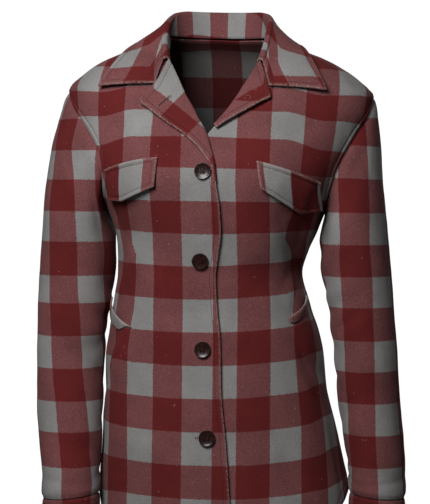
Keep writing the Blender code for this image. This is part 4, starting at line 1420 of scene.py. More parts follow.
@dataclass
class Collar:
    """The turned-down collar: its stand, roll and leaf with two front points."""

    cloth: float = 3.4
    rest: float = 2.0
    roll_radius: float = 3.4
    per_station: int = 9
    stand_steps: int = 8
    roll_steps: int = 9
    leaf_steps: int = 34
    notch: Tuple[float, float, float] = (80.0, -57.0, 5.0)
    stitch: float = 7.0
    weave_along: Tuple[Tuple[float, ...], Tuple[float, ...]] = (
        (-300.0, -98.0, 82.0, 190.0, 244.0, 300.0), (-292.0, -90.0, 135.0, 225.0, 270.0, 317.0),
    )
    weave_rows: Tuple[Tuple[float, ...], Tuple[float, ...]] = (
        (-300.0, -60.0, 190.0, 300.0), (6.0, 20.4, -9.0, -3.0),
    )
    stitching: List[List[Spot]] = field(default_factory=list)

    def keep_clear(self, point: Vector, distance: float) -> Vector:
        """Push a place outward until it clears the body by a distance."""
        if point.z > NECK_TOP:
            return point
        half_width = BODY.half_width(point.z)
        centre = BODY.centre(point.z)
        depth = BODY.front(point.z) if point.y < 0.0 else BODY.back(point.z)
        power = BODY.POWER / 2.0
        across = min(abs(point.x - centre) / half_width, 1.0)
        angle = math.degrees(math.atan2(across ** power, (abs(point.y) / depth) ** power))
        if point.y > 0.0:
            angle = 180.0 - angle
        angle = math.copysign(angle, point.x if abs(point.x) > 0.01 else 1.0)
        surface = BODY.point(angle, point.z)
        normal = BODY.normal(angle, point.z)
        away = (point - surface).dot(normal)
        return point + normal * (distance - away) if away < distance else point

    def profile(self, numbers: Sequence[float], sign: int, ends: float) -> List[Vector]:
        """Middle line of the collar at one station: stand, roll and leaf.

        Args:
            numbers: The station's seam, roll line, leaf edge and lift.
            sign: Side along X.
            ends: How far the leaf bends down to the notch there, from 0 to 1.

        Returns:
            Places from the neck seam to the leaf's edge.
        """
        seam = Vector((sign * numbers[0], numbers[1], numbers[2]))
        roll = Vector((sign * numbers[3], numbers[4], numbers[5]))
        edge = Vector((sign * numbers[6], numbers[7], numbers[8]))
        rise = (roll - seam).normalized()
        fall = (edge - roll).normalized()
        outward = (fall - rise * fall.dot(rise)).normalized()
        hub = roll + outward * self.roll_radius
        line = [seam.lerp(roll, k / self.stand_steps) for k in range(self.stand_steps + 1)]
        for k in range(1, self.roll_steps + 1):
            swing = math.radians(150.0 * k / self.roll_steps)
            line.append(
                hub - outward * self.roll_radius * math.cos(swing)
                + rise * self.roll_radius * math.sin(swing)
            )
        start = line[-1]
        notch = BODY.on_front(sign * self.notch[0], self.notch[1], self.notch[2])
        bend = 0.3
        for k in range(1, self.leaf_steps + 1):
            share = k / self.leaf_steps
            point = start.lerp(edge, share)
            if ends > 0.0:
                if share < bend:
                    bent = start.lerp(notch, share / bend)
                else:
                    bent = notch.lerp(edge, (share - bend) / (1.0 - bend))
                point = point.lerp(bent, ends)
            clear = self.cloth / 2.0 + self.rest + numbers[9] * share
            line.append(self.keep_clear(point, clear))
        return line

    def lay(self) -> ClothGrid:
        """Lay the collar round the neck.

        Returns:
            The collar's folded cloth, its outer face first.
        """
        last = len(COLLAR_STATIONS) - 1
        tables = numbered(COLLAR_STATIONS)
        ends = SmoothTable((0.0, last - 3.0, last - 2.0, last - 1.0, float(last)),
                           (0.0, 0.0, 0.22, 0.62, 1.0))
        count = last * self.per_station
        middle = []
        for n in range(-count, count + 1):
            place = abs(n) / self.per_station
            sign = 1 if n > 0 else -1
            numbers = [table(place) for table in tables]
            middle.append(self.profile(numbers, sign, ends(place)))
        guide = ClothGrid(middle, [], self.cloth, Vector((0.0, 0.0, -30.0)))
        normals = guide.turned()
        half = self.cloth / 2.0
        face = [[p + n * half for p, n in zip(a, b)] for a, b in zip(middle, normals)]
        back = [[p - n * half for p, n in zip(a, b)] for a, b in zip(middle, normals)]
        centre = len(face) // 2
        weave = self.weave_of(face, centre)
        grid = ClothGrid(
            face=face, weave=weave, thickness=self.cloth, inside=Vector((0.0, 0.0, -30.0)),
            back_face=back, left=Border.SEAM,
        )
        leaf = self.stand_steps + self.roll_steps
        edge = [line[-1] for line in face[1:-1]]
        away = distance_map(face, face[0][leaf:] + edge + list(reversed(face[-1][leaf:])))

        def relief(i: int, j: int) -> float:
            """Move outward of the place in one row and column."""
            place = face[i][j]
            if j < leaf:
                return 0.0
            near = away[i][j]
            move = 0.55 * bell((near - 3.4) / 2.6) + groove(near, self.stitch, 0.75, 1.5)
            calm = smooth_step(0.0, 12.0, near) * smooth_step(leaf, leaf + 6.0, j)
            return move + calm * undulation(place, 30.0, 1.3, 51.0)

        grid.press(relief)
        grid.edge_wear_and_highlight(1.7)
        self.stitching += contour(grid, away, self.stitch)
        return grid

    def weave_of(self, face: Grid, centre: int) -> List[List[Pair]]:
        """Measure the collar's cloth along its roll line and down its leaf.

        Args:
            face: The collar's outer face.
            centre: Row at the centre back.

        Returns:
            The weave's place at each place of the collar.
        """
        roll = self.stand_steps + self.roll_steps // 2
        along = [0.0] * len(face)
        for i in range(centre + 1, len(face)):
            middle = (len(face[i]) + roll) // 2
            along[i] = along[i - 1] + (face[i][middle] - face[i - 1][middle]).length
        for i in range(centre - 1, -1, -1):
            middle = (len(face[i]) + roll) // 2
            along[i] = along[i + 1] - (face[i][middle] - face[i + 1][middle]).length
        weave = []
        spread = SmoothTable(*self.weave_along)
        rows = SmoothTable(*self.weave_rows)
        for i, line in enumerate(face):
            travelled = travel(line)
            weave.append([(spread(along[i]), travelled[-1] - down + rows(along[i])) for down in travelled])
        return weave


# Rows outward from the centre line: fold line x and z, free edge x and z
LAPELS: Dict[int, Tuple[Tuple[float, float, float, float], ...]] = {
    -1: (
        (65, -21.5, 79, -59.5), (57.5, -35.5, 98, -82), (49.5, -49.5, 87, -91), (43, -61.5, 76, -99),
        (36.5, -73.5, 64.5, -106.5), (26, -89.5, 53, -114), (15.5, -105.5, 41, -121),
        (6, -118.5, 27.5, -129.5), (-1.5, -131.5, 10, -143.5), (-8, -148.5, -1.5, -156),
        (-15.5, -169, -12.6, -171), (-18.5, -192, -15.8, -194),
    ),
    1: (
        (65, -21.5, 79, -59.5), (58, -35, 82.5, -72), (50.5, -49.5, 70, -80), (44, -61, 57, -88),
        (37.5, -73, 45.5, -95), (27.5, -89.5, 33.5, -102.5), (17.5, -104.5, 21.5, -110.5),
        (10.5, -113, 13.5, -116.5),
    ),
}


@dataclass
class Lapel:
    """One turned-out lapel: the front's facing rolled over and lying on the front."""

    side: Side
    folded: float = 3.0
    cloth: float = 2.2
    rest: float = 0.5
    lift: float = 3.5
    rows: int = 96
    columns: int = 30
    roll_steps: int = 6
    stitch: float = 7.0
    weave_across: float = 0.0
    weave_down: float = 0.0
    weave_top: float = 0.0
    row_lean: Pair = (0.0, -1.0)
    edge_band: float = 13.0
    band_ease: float = 0.7
    stitching: List[List[Spot]] = field(default_factory=list)

    def row_at(self, place: Vector) -> float:
        """Distance down the weave at a place of the lapel."""
        return self.weave_down + self.row_lean[0] * place.x + self.row_lean[1] * place.z

    def lay(self) -> ClothGrid:
        """Lay the lapel with its rolled fold.

        Returns:
            The lapel's folded cloth.
        """
        sign = self.side.value
        tables = numbered(LAPELS[sign])
        last = len(LAPELS[sign]) - 1
        face, back = [], []
        for i in range(self.rows):
            share_down = i / (self.rows - 1)
            fold_x, fold_z, edge_x, edge_z = [table(last * share_down) for table in tables]
            lifted = self.lift * math.sin(math.pi * min(1.0, 0.25 + 0.75 * share_down))
            width = math.hypot(edge_x - fold_x, edge_z - fold_z)
            radius = min((self.cloth + self.rest + self.folded) / 2.0, 0.3 * width + 1.0)
            out_x, out_z = (fold_x - edge_x) / max(width, 0.1), (fold_z - edge_z) / max(width, 0.1)
            top, base = [], []
            for k in range(self.roll_steps):
                swing = math.pi * (k / self.roll_steps)
                depth = (self.folded + self.rest - self.cloth) / 2.0
                reach = radius * math.sin(swing)
                rise = depth - (self.cloth + self.rest + self.folded) / 2.0 * math.cos(swing)
                x, z = fold_x + out_x * reach, fold_z + out_z * reach
                top.append(BODY.on_front(sign * x, z, rise))
                low = min(rise + 0.25, self.rest) if k else -self.cloth + 0.3
                base.append(BODY.on_front(sign * (fold_x + out_x * 0.15), fold_z, low))
            for j in range(self.columns):
                share = j / (self.columns - 1)
                share += 0.3 * math.sin(2.0 * math.pi * share) / (2.0 * math.pi) * -1.0
                x = fold_x + (edge_x - fold_x) * share
                z = fold_z + (edge_z - fold_z) * share
                rest = self.rest + lifted * math.sin(math.pi * 0.5 * share) ** 0.8
                base.append(BODY.on_front(sign * x, z, rest))
                top.append(BODY.on_front(sign * x, z, rest + self.folded))
            face.append(top)
            back.append(base)
        weave = self.weave_of(face)
        grid = ClothGrid(
            face=face, weave=weave, thickness=self.folded, inside=WITHIN,
            back_face=back, left=Border.SEAM,
        )
        first = self.roll_steps + 2
        away = distance_map(face, face[0][first:] + [line[-1] for line in face[1:]])

        def relief(i: int, j: int) -> float:
            """Move outward of the place in one row and column."""
            if j < self.roll_steps:
                return 0.0
            near = away[i][j]
            open_width = (face[i][-1] - face[i][self.roll_steps]).length
            wide = smooth_step(10.0, 18.0, open_width)
            move = wide * (0.5 * bell((near - 3.4) / 2.4) + groove(near, self.stitch, 0.7, 1.5))
            calm = wide * smooth_step(0.0, 10.0, near)
            return move + calm * undulation(face[i][j], 24.0, 0.9, 61.0 + sign)

        grid.press(relief)
        grid.edge_wear_and_highlight(1.8)
        self.stitching += contour(grid, away, self.stitch, 20.0)
        return grid

    def weave_of(self, face: Grid) -> List[List[Pair]]:
        """Measure the facing's check in from its free edge, and its rows by their lean."""
        sign = self.side.value
        weave = []
        for line in face:
            eased = [
                min(away, self.edge_band) + self.band_ease * max(away - self.edge_band, 0.0)
                for away in reversed(travel(reversed(line)))
            ]
            weave.append([
                (self.weave_across - sign * away, max(self.row_at(place), self.weave_top))
                for away, place in zip(eased, line)
            ])
        return weave


# Corners of each chest flap outward from the middle: inner top, outer top, inner low,
# outer low and the point
FLAPS: Dict[int, Tuple[Pair, ...]] = {
    -1: ((63.5, -160.0), (142.5, -176.5), (65.5, -198.0), (139.0, -215.0), (112.0, -216.5)),
    1: ((73.5, -162.0), (155.0, -188.0), (77.0, -197.5), (150.5, -226.5), (124.5, -231.0)),
}


def between(start: Pair, end: Pair, share: float) -> Pair:
    """Place between two flat places."""
    return (start[0] + (end[0] - start[0]) * share, start[1] + (end[1] - start[1]) * share)


@dataclass
class ChestFlap:
    """Pointed flap of a chest pocket, puffed along its stitched band."""

    side: Side
    folded: float = 3.0
    rest: float = 0.6
    lift: float = 5.0
    columns: int = 64
    rows: int = 40
    stitch: float = 5.6
    grey_between: Pair = (0.0, 0.0)
    stitching: List[List[Spot]] = field(default_factory=list)

    def lay(self) -> ClothGrid:
        """Lay the flap over its front.

        Returns:
            The flap's folded cloth.
        """
        sign = self.side.value
        inner_top, outer_top, inner_low, outer_low, point = FLAPS[sign]
        point_share = (point[0] - inner_low[0]) / (outer_low[0] - inner_low[0])
        face, back, weave = [], [], []
        for i in range(self.rows):
            down = i / (self.rows - 1)
            top, base, woven = [], [], []
            for j in range(self.columns):
                share = j / (self.columns - 1)
                high = between(inner_top, outer_top, share)
                bow = 2.2 * math.sin(math.pi * share)
                high = (high[0], high[1] + bow)
                if share < point_share:
                    low = between(inner_low, point, share / point_share)
                else:
                    low = between(point, outer_low, (share - point_share) / (1.0 - point_share))
                x, z = between(high, low, down)
                rise = self.rest + self.lift * down ** 1.6
                base.append(BODY.on_front(sign * x, z, rise))
                top.append(BODY.on_front(sign * x, z, rise + self.folded))
                woven.append(self.weave_at(x, z, share, down))
            face.append(top)
            back.append(base)
            weave.append(woven)
        grid = ClothGrid(face=face, weave=weave, thickness=self.folded, inside=WITHIN, back_face=back)
        away = distance_map(
            face, face[0] + [line[-1] for line in face[1:]],
            face[-1][-2::-1] + [line[0] for line in reversed(face)],
        )
        top_edge = distance_map(face, face[0])

        def relief(i: int, j: int) -> float:
            """Move outward of the place in one row and column."""
            near = away[i][j]
            move = 0.5 * bell((near - 2.8) / 2.2) + groove(near, self.stitch, 0.8, 1.3)
            move += 0.9 * bell(top_edge[i][j] / 4.5)
            calm = smooth_step(0.0, 8.0, near)
            return move + calm * undulation(face[i][j], 22.0, 1.1, 71.0 + sign)

        grid.press(relief)
        grid.edge_wear_and_highlight(1.8)
        self.stitching += contour(grid, away, self.stitch)
        return grid

    def weave_at(self, x: float, z: float, share: float, down: float) -> Pair:
        """Place in the weave: a grey column between two red ones, as the flap is cut."""
        start, end = self.grey_between
        width = BLOCK_WIDTH
        u = (share - start) / (end - start) * width
        v = 8.0 + 30.0 * down
        if u > width:
            v += BLOCK_HEIGHT * smooth_step(width, width + 0.8, u)
            if u > 2.0 * width:
                v -= BLOCK_HEIGHT * smooth_step(2.0 * width, 2.0 * width + 0.8, u)
        return (u - width, v)


@dataclass
class HipPocket:
    """Slanted hip pocket: its bound welt lifted off the front over the opening, its edges pale from abraded
    nap and painted highlight.
    """

    side: Side
    front: Pair = (42.0, -386.0)
    back: Pair = (79.0, -358.0)
    width: float = 17.0
    point: Pair = (-0.25, 0.16)
    weave_across: float = -24.0
    weave_down: float = 62.0
    cloth: float = 2.2
    rest: float = 0.5
    lift: float = 2.2
    columns: int = 60
    rows: int = 12

    def lay(self) -> ClothGrid:
        """Lay the welt over its front.

        Returns:
            The welt's folded cloth.
        """
        sign = self.side.value
        face, back, weave = [], [], []
        for i in range(self.rows):
            down = i / (self.rows - 1)
            top, base, woven = [], [], []
            for j in range(self.columns):
                share = j / (self.columns - 1)
                angle = sign * (self.front[0] + (self.back[0] - self.front[0]) * share)
                width = self.width * smooth_step(self.point[0], self.point[1], share)
                z = self.front[1] + (self.back[1] - self.front[1]) * share - width * down
                z -= 2.0 * math.sin(math.pi * share)
                rise = self.rest + self.lift * (1.0 - down) * math.sin(math.pi * (0.12 + 0.76 * share))
                place = BODY.point(angle, z)
                normal = BODY.normal(angle, z)
                base.append(place + normal * rise)
                puff = 0.8 * math.sin(math.pi * down)
                top.append(place + normal * (rise + self.cloth + puff))
                woven.append((self.weave_across + width * down, self.weave_down + share * 60.0))
            face.append(top)
            back.append(base)
            weave.append(woven)
        grid = ClothGrid(face=face, weave=weave, thickness=self.cloth, inside=WITHIN, back_face=back)
        # Wide pale edges: partly abraded nap, partly painted highlight along the welt's stitched ends.
        grid.edge_wear_and_highlight(2.4)
        return grid


def lying_on(grid: ClothGrid, x: float, z: float) -> Spot:
    """Find the place of a laid cloth at x and z, seen from the front.

    Args:
        grid: The cloth.
        x: Distance from the middle plane.
        z: Height.

    Returns:
        The nearest place of the cloth's face and its normal.
    """
    normals = grid.turned()
    places = [(i, j) for i, line in enumerate(grid.face) for j in range(len(line))]
    i, j = min(
        places, key=lambda at: math.hypot(
            grid.face[at[0]][at[1]].x - x, grid.face[at[0]][at[1]].z - z
        ) - 0.2 * normals[at[0]][at[1]].dot(Vector((0.0, -1.0, 0.0)))
    )
    return grid.face[i][j].copy(), normals[i][j]


@dataclass
class Buttonhole:
    """Keyhole buttonhole: a slit in the cloth with close stitches round it."""

    place: Vector
    along: Vector
    normal: Vector
    length: float = 20.0
    width: float = 2.6
    stitches: int = 46

    def bars(self) -> List[Bar]:
        """Work out the stitches round the slit.

        Returns:
            Start, end and outward normal of each stitch.
        """
        along = (self.along - self.normal * self.along.dot(self.normal)).normalized()
        across = self.normal.cross(along).normalized()
        made = []
        for k in range(self.stitches):
            turn = 2.0 * math.pi * k / self.stitches
            straight = self.length / 2.0 - self.width / 2.0
            x = straight * max(-1.0, min(1.0, 1.35 * math.cos(turn)))
            out_x = math.cos(turn) if abs(math.cos(turn)) > 0.74 else 0.0
            out_y = math.sin(turn) if out_x else math.copysign(1.0, math.sin(turn))
            way = (along * out_x + across * out_y).normalized()
            start = self.place + along * x + way * 0.35
            made.append((start, start + way * (self.width / 2.0 + 0.5), self.normal))
        return made

    def slit(self) -> List[Bar]:
        """Painted shadow of the open slit: one near-black thread along it."""
        along = (self.along - self.normal * self.along.dot(self.normal)).normalized()
        half = self.length / 2.0 - 1.0
        start, end = self.place - along * half, self.place + along * half
        return [(start, end, self.normal)]


@dataclass
class ThreadRing:
    """Ring of thread that a button behind the lapel has left on its face."""

    place: Vector
    normal: Vector
    radius: float = 3.9
    stitches: int = 14

    def bars(self) -> List[Bar]:
        """Work out the ring's stitches, open at its lower side.

        Returns:
            Start, end and outward normal of each stitch.
        """
        turn = self.normal.to_track_quat("Z", "Y").to_matrix()
        made = []
        for k in range(self.stitches):
            ends = []
            for step in (k, k + 1.15):
                swing = math.radians(-40.0 + 260.0 * step / self.stitches)
                spot = Vector((math.cos(swing), math.sin(swing), 0.05)) * self.radius
                ends.append(self.place + turn @ spot)
            made.append((ends[0], ends[1], self.normal))
        return made


class NodeBoard:
    """Short way to lay and link a material's nodes."""

    def __init__(self, name: str) -> None:
        """Start a material with its output and its shader.

        Args:
            name: Name of the material.
        """
        self.material = bpy.data.materials.new(name)
        self.material.use_nodes = True
        self.tree = self.material.node_tree
        self.shader = self.tree.nodes["Principled BSDF"]

    def add(
        self, kind: str, settings: Optional[Dict[str, object]] = None, **inputs: object,
    ) -> bpy.types.Node:
        """Add a node.

        Args:
            kind: Blender's name of the node type.
            settings: The node's own choices.
            inputs: Sockets by name with spaces as underscores, each a value or a socket.

        Returns:
            The node.
        """
        node = self.tree.nodes.new(kind)
        for title, value in (settings or {}).items():
            setattr(node, title, value)
        for title, value in inputs.items():
            self.feed(node.inputs[title.replace("_", " ")], value)
        return node

    def feed(self, socket: bpy.types.NodeSocket, value: object) -> None:
        """Link a socket into another, or set its value."""
        if isinstance(value, bpy.types.NodeSocket):
            self.tree.links.new(value, socket)
        else:
            socket.default_value = value

    def maths(self, operation: str, *values: object) -> bpy.types.NodeSocket:
        """Reckon with up to three numbers or sockets."""
        node = self.add("ShaderNodeMath", {"operation": operation})
        for socket, value in zip(node.inputs, values):
            self.feed(socket, value)
        return node.outputs[0]

    def times(self, one: object, other: object) -> bpy.types.NodeSocket:
        """Product of two numbers or sockets."""
        return self.maths("MULTIPLY", one, other)

    def plus(self, one: object, other: object) -> bpy.types.NodeSocket:
        """Sum of two numbers or sockets."""
        return self.maths("ADD", one, other)

    def rise(self, value: object, low: float, high: float) -> bpy.types.NodeSocket:
        """Smooth step from 0 at low to 1 at high."""
        return self.add(
            "ShaderNodeMapRange", {"interpolation_type": "SMOOTHSTEP"},
            Value=value, From_Min=low, From_Max=high,
        ).outputs["Result"]

    def speckle(self, places: object, scale: float, detail: float = 3.0) -> bpy.types.NodeSocket:
        """Noise from 0 to 1 at the given places, most of it near the middle."""
        return self.add("ShaderNodeTexNoise", Vector=places, Scale=scale, Detail=detail).outputs[0]

    def blend(self, share: object, one: object, two: object) -> bpy.types.NodeSocket:
        """Blend two colours."""
        node = self.add("ShaderNodeMix", {"data_type": "RGBA"})
        self.feed(node.inputs[0], share)
        self.feed(node.inputs[6], one)
        self.feed(node.inputs[7], two)
        return node.outputs[2]

    def shade(self, colour: object, factor: object) -> bpy.types.NodeSocket:
        """Darken or lighten a colour by a factor."""
        return self.add(
            "ShaderNodeVectorMath", {"operation": "SCALE"}, Vector=colour, Scale=factor
        ).outputs[0]

    def bump(self, height: object, distance: float, strength: float) -> bpy.types.NodeSocket:
        """Turn a height into the shader's normal."""
        node = self.add("ShaderNodeBump", Height=height, Distance=distance, Strength=strength)
        return node.outputs["Normal"]


@dataclass(frozen=True)
class WoolCheck:
    """Brushed wool twill in a block check: red, grey, and where they cross, both."""

    column: float = 2.0 * BLOCK_WIDTH * MM
    row: float = 2.0 * BLOCK_HEIGHT * MM
    soft_edge: float = 0.045
    red: str = "5e1f1f"
    crossing: str = "6f4041"
    grey: str = "858381"
    # How much darker the inside face is: partly the duller wrong side of the cloth, partly painted shade of
    # the jacket's inside.
    inner: float = 0.62
    # Pale colour of the abraded nap on the edges, which also paints their highlight, and of the lint specks.
    fuzz_and_highlight: str = "a89a94"

    def material(self, name: str) -> bpy.types.Material:
        """Make the wool.

        Args:
            name: Name of the material.

        Returns:
            The material.
        """
        board = NodeBoard(name)
        places = board.add("ShaderNodeTexCoord").outputs["Object"]
        weave = board.add("ShaderNodeUVMap", {"uv_map": "weave"}).outputs["UV"]
        stray = board.add("ShaderNodeTexNoise", Vector=places, Scale=620.0, Detail=2.0)
        stray = board.add(
            "ShaderNodeVectorMath", {"operation": "MULTIPLY_ADD"}, Vector=stray.outputs["Color"]
        )
        stray.inputs[1].default_value = (0.0034, 0.0034, 0.0)
        stray.inputs[2].default_value = (-0.0017, -0.0017, 0.0)
        moved = board.add("ShaderNodeVectorMath", {"operation": "ADD"}, Vector=weave)
        board.feed(moved.inputs[1], stray.outputs[0])
        split = board.add("ShaderNodeSeparateXYZ", Vector=moved.outputs[0])
        across, down = split.outputs["X"], split.outputs["Y"]
        wave_x = board.maths("SINE", board.times(across, math.tau / self.column))
        wave_y = board.maths("SINE", board.times(down, math.tau / self.row))
        grey_column = board.rise(board.times(wave_x, -1.0), -self.soft_edge, self.soft_edge)
        grey_row = board.rise(wave_y, -self.soft_edge, self.soft_edge)
        both = board.times(grey_column, grey_row)
        either = board.maths("SUBTRACT", board.plus(grey_column, grey_row), both)
        twill = board.maths("SINE", board.times(board.plus(across, down), 3100.0))
        heather = board.speckle(places, 470.0, 4.0)
        thread = board.plus(board.times(twill, 0.10),
            board.times(board.maths("SUBTRACT", heather, 0.5), 0.8),
        )
        one_side = board.maths("SUBTRACT", either, both)
        crossed = board.blend(
            board.plus(0.5, thread), linear(self.shifted(self.crossing, -0.10)),
            linear(self.shifted(self.crossing, 0.10)),
        )
        plain = board.blend(both, linear(self.red), linear(self.grey))
        colour = board.blend(one_side, plain, crossed)
        broad = board.times(board.maths("SUBTRACT", board.speckle(places, 22.0, 2.0), 0.5), 0.5)
        fine = board.times(board.maths("SUBTRACT", heather, 0.5), 0.5)
        tone = board.plus(board.plus(1.0, broad), fine)
        colour = board.shade(colour, tone)
        # Pale edges: partly abraded nap, partly painted highlight where the rolled edges catch the light.
        wear = board.add("ShaderNodeAttribute", {"attribute_name": "wear"}).outputs["Fac"]
        rubbed_and_lit = board.times(wear, board.rise(heather, 0.30, 0.75))
        colour = board.blend(board.times(rubbed_and_lit, 0.6), colour, linear(self.fuzz_and_highlight))
        lint = board.rise(board.speckle(places, 230.0, 0.0), 0.82, 0.86)
        colour = board.blend(board.times(lint, 0.25), colour, linear(self.fuzz_and_highlight))
        # Inside face darkened: partly the wrong side's duller cloth, partly painted shade.
        inner = board.add("ShaderNodeAttribute", {"attribute_name": "inner"}).outputs["Fac"]
        inside = board.rise(inner, 0.35, 0.95)
        colour = board.shade(colour, board.maths("SUBTRACT", 1.0, board.times(inside, self.inner)))
        board.feed(board.shader.inputs["Base Color"], colour)
        nap = board.plus(board.times(board.speckle(places, 900.0, 3.0), 0.6),
            board.plus(board.times(heather, 0.7), board.times(twill, 0.06)),
        )
        board.feed(board.shader.inputs["Normal"], board.bump(nap, 0.0011, 0.55))
        roughness = board.plus(0.86, board.times(heather, 0.12))
        board.feed(board.shader.inputs["Roughness"], roughness)
        board.shader.inputs["Specular IOR Level"].default_value = 0.12
        board.shader.inputs["Sheen Weight"].default_value = 0.03
        board.shader.inputs["Sheen Roughness"].default_value = 0.45
        board.shader.inputs["Sheen Tint"].default_value = (0.85, 0.72, 0.70, 1.0)
        return board.material

    @staticmethod
    def shifted(colour: str, share: float) -> str:
        """Turn a hex colour a little redder and darker, or greyer and paler."""
        parts = [int(colour[i:i + 2], 16) for i in (0, 2, 4)]
        moved = [part * (1.0 + gain * share) for part, gain in zip(parts, (0.6, 2.6, 2.5))]
        return "".join(f"{min(255, max(0, round(value))):02x}" for value in moved)


@dataclass(frozen=True)
class SewingThread:
    """Twisted thread of the topstitching, buttonholes and button crosses."""

    colour: str
    deep: str

    def material(self, name: str) -> bpy.types.Material:
        """Make the thread.

        Args:
            name: Name of the material.

        Returns:
            The material.
        """
        board = NodeBoard(name)
        places = board.add("ShaderNodeTexCoord").outputs["Object"]
        grain = board.speckle(places, 1700.0, 3.0)
        board.feed(
            board.shader.inputs["Base Color"],
            board.blend(board.rise(grain, 0.35, 0.65), linear(self.deep), linear(self.colour)),
        )
        board.feed(board.shader.inputs["Normal"], board.bump(grain, 0.0003, 0.5))
        roughness = board.plus(0.55, board.times(grain, 0.3))
        board.feed(board.shader.inputs["Roughness"], roughness)
        board.shader.inputs["Specular IOR Level"].default_value = 0.25
        return board.material


@dataclass(frozen=True)
class MouldedButton:
    """Dark brown marbled button with a half gloss."""

    dark: str = "160b0a"
    pale: str = "331a15"

    def material(self, name: str) -> bpy.types.Material:
        """Make the button's finish.

        Args:
            name: Name of the material.

        Returns:
            The material.
        """
        board = NodeBoard(name)
        places = board.add("ShaderNodeTexCoord").outputs["Object"]
        swirl = board.add(
            "ShaderNodeTexNoise", Vector=places, Scale=130.0, Detail=3.0, Distortion=2.4
        ).outputs[0]
        board.feed(
            board.shader.inputs["Base Color"],
            board.blend(board.rise(swirl, 0.35, 0.68), linear(self.dark), linear(self.pale)),
        )
        scuffs = board.speckle(places, 900.0, 4.0)
        board.feed(board.shader.inputs["Roughness"], board.plus(0.20, board.times(scuffs, 0.14)))
        board.feed(board.shader.inputs["Normal"], board.bump(scuffs, 0.0001, 0.4))
        board.shader.inputs["Specular IOR Level"].default_value = 0.38
        return board.material


@dataclass(frozen=True)
class PaleFloor:
    """Plain pale floor with a faint unevenness."""

    colour: str = "f4f3f1"

    def material(self, name: str) -> bpy.types.Material:
        """Make the floor's finish.

        Args:
            name: Name of the material.

        Returns:
            The material.
        """
        board = NodeBoard(name)
        places = board.add("ShaderNodeTexCoord").outputs["Object"]
        mottle = board.speckle(places, 3.0, 2.0)
        factor = board.plus(0.99, board.times(mottle, 0.02))
        board.feed(board.shader.inputs["Base Color"], board.shade(linear(self.colour)[:3], factor))
        board.shader.inputs["Roughness"].default_value = 0.9
        return board.material


@dataclass
class ButtonMould:
    """Four-hole button with a raised rim and a dished face, modelled once and copied."""

    radius: float = 11.5
    thickness: float = 4.2
    rim: float = 2.3
    dish: float = 1.1
    hole: float = 1.15
    hole_apart: float = 2.1
    sides: int = 56

    def blank(self) -> bpy.types.Object:
        """Model the button flat on the middle of the scene, its face upward.

        Returns:
            The button, its lower face at zero.
        """
        bpy.ops.object.select_all(action="DESELECT")
        bpy.ops.mesh.primitive_cylinder_add(
            vertices=self.sides, radius=self.radius * MM, depth=self.thickness * MM,
            location=(0.0, 0.0, self.thickness * MM / 2.0),
        )
        made = bpy.context.object
        bpy.ops.object.transform_apply(location=True, rotation=True, scale=True)
        self.inset_top(made, self.rim, -self.dish * 0.55)
        self.inset_top(made, 1.2, -self.dish * 0.45)
        self.bevel_rim(made)
        self.pierce(made)
        pick(made)
        bpy.ops.object.shade_smooth_by_angle(angle=math.radians(40.0))
        return made

    def inset_top(self, made: bpy.types.Object, width: float, drop: float) -> None:
        """Inset the upper face and sink it."""
        bpy.ops.object.mode_set(mode="EDIT")
        bpy.ops.mesh.select_all(action="DESELECT")
        bpy.ops.object.mode_set(mode="OBJECT")
        faces = [face for face in made.data.polygons if face.normal.z > 0.99]
        top = max(faces, key=lambda face: (len(face.vertices), face.center.z))
        top.select = True
        bpy.ops.object.mode_set(mode="EDIT")
        bpy.ops.mesh.select_mode(type="FACE")
        bpy.ops.mesh.inset(thickness=width * MM, depth=drop * MM)
        bpy.ops.object.mode_set(mode="OBJECT")

    def bevel_rim(self, made: bpy.types.Object) -> None:
        """Round the button's outer corners."""
        self.finish(made, "BEVEL", {
            "width": 0.75 * MM, "segments": 4, "limit_method": "ANGLE",
            "angle_limit": math.radians(50.0),
        })

    def pierce(self, made: bpy.types.Object) -> None:
        """Cut the four thread holes."""
        for across in (-1.0, 1.0):
            for up in (-1.0, 1.0):
                bpy.ops.object.select_all(action="DESELECT")
                bpy.ops.mesh.primitive_cylinder_add(
                    vertices=20, radius=self.hole * MM, depth=self.thickness * 3.0 * MM,
                    location=(across * self.hole_apart * MM, up * self.hole_apart * MM, 0.0),
                )
                drill = bpy.context.object
                self.finish(made, "BOOLEAN", {"operation": "DIFFERENCE", "object": drill, "solver": "EXACT"})
                bpy.data.objects.remove(drill)

    @staticmethod
    def finish(made: bpy.types.Object, kind: str, settings: Dict[str, object]) -> None:
        """Add a modifier and apply it."""
        pick(made)
        modifier = made.modifiers.new(kind.lower(), kind)
        for title, value in settings.items():
            setattr(modifier, title, value)
        bpy.ops.object.modifier_apply(modifier=modifier.name)

    def copy_to(
        self, blank: bpy.types.Object, name: str, base: Vector, normal: Vector, size: float = 1.0,
    ) -> bpy.types.Object:
        """Copy the button to a place on the cloth.

        Args:
            blank: The modelled button.
            name: Name of the copy.
            base: Middle of its lower face, in metres.
            normal: Way its face looks.
            size: Size against the modelled one.

        Returns:
            The copy with its place in its mesh.
        """
        mesh = blank.data.copy()
        mesh.name = name
        turn = normal.to_track_quat("Z", "Y").to_matrix()
        for vertex in mesh.vertices:
            vertex.co = base + turn @ (vertex.co * size)
        return linked(name, mesh)

    def cross(self, base: Vector, normal: Vector, size: float = 1.0) -> List[Bar]:
        """Threads that cross the button's face between its holes, in millimetres."""
        turn = normal.to_track_quat("Z", "Y").to_matrix()
        height = (self.thickness - self.dish) * size + 0.2
        made = []
        for lane in (-0.36, 0.0, 0.36):
            for sign in (-1.0, 1.0):
                ends = [
                    Vector((-s * self.hole_apart, -s * sign * self.hole_apart, 0.0)) for s in (1.0, -1.0)
                ]
                aside = Vector((-sign, 1.0, 0.0)).normalized() * lane
                start, end = [
                    base + turn @ ((place + aside) * size + Vector((0.0, 0.0, height))) for place in ends
                ]
                made.append((start, end, normal))
        return made


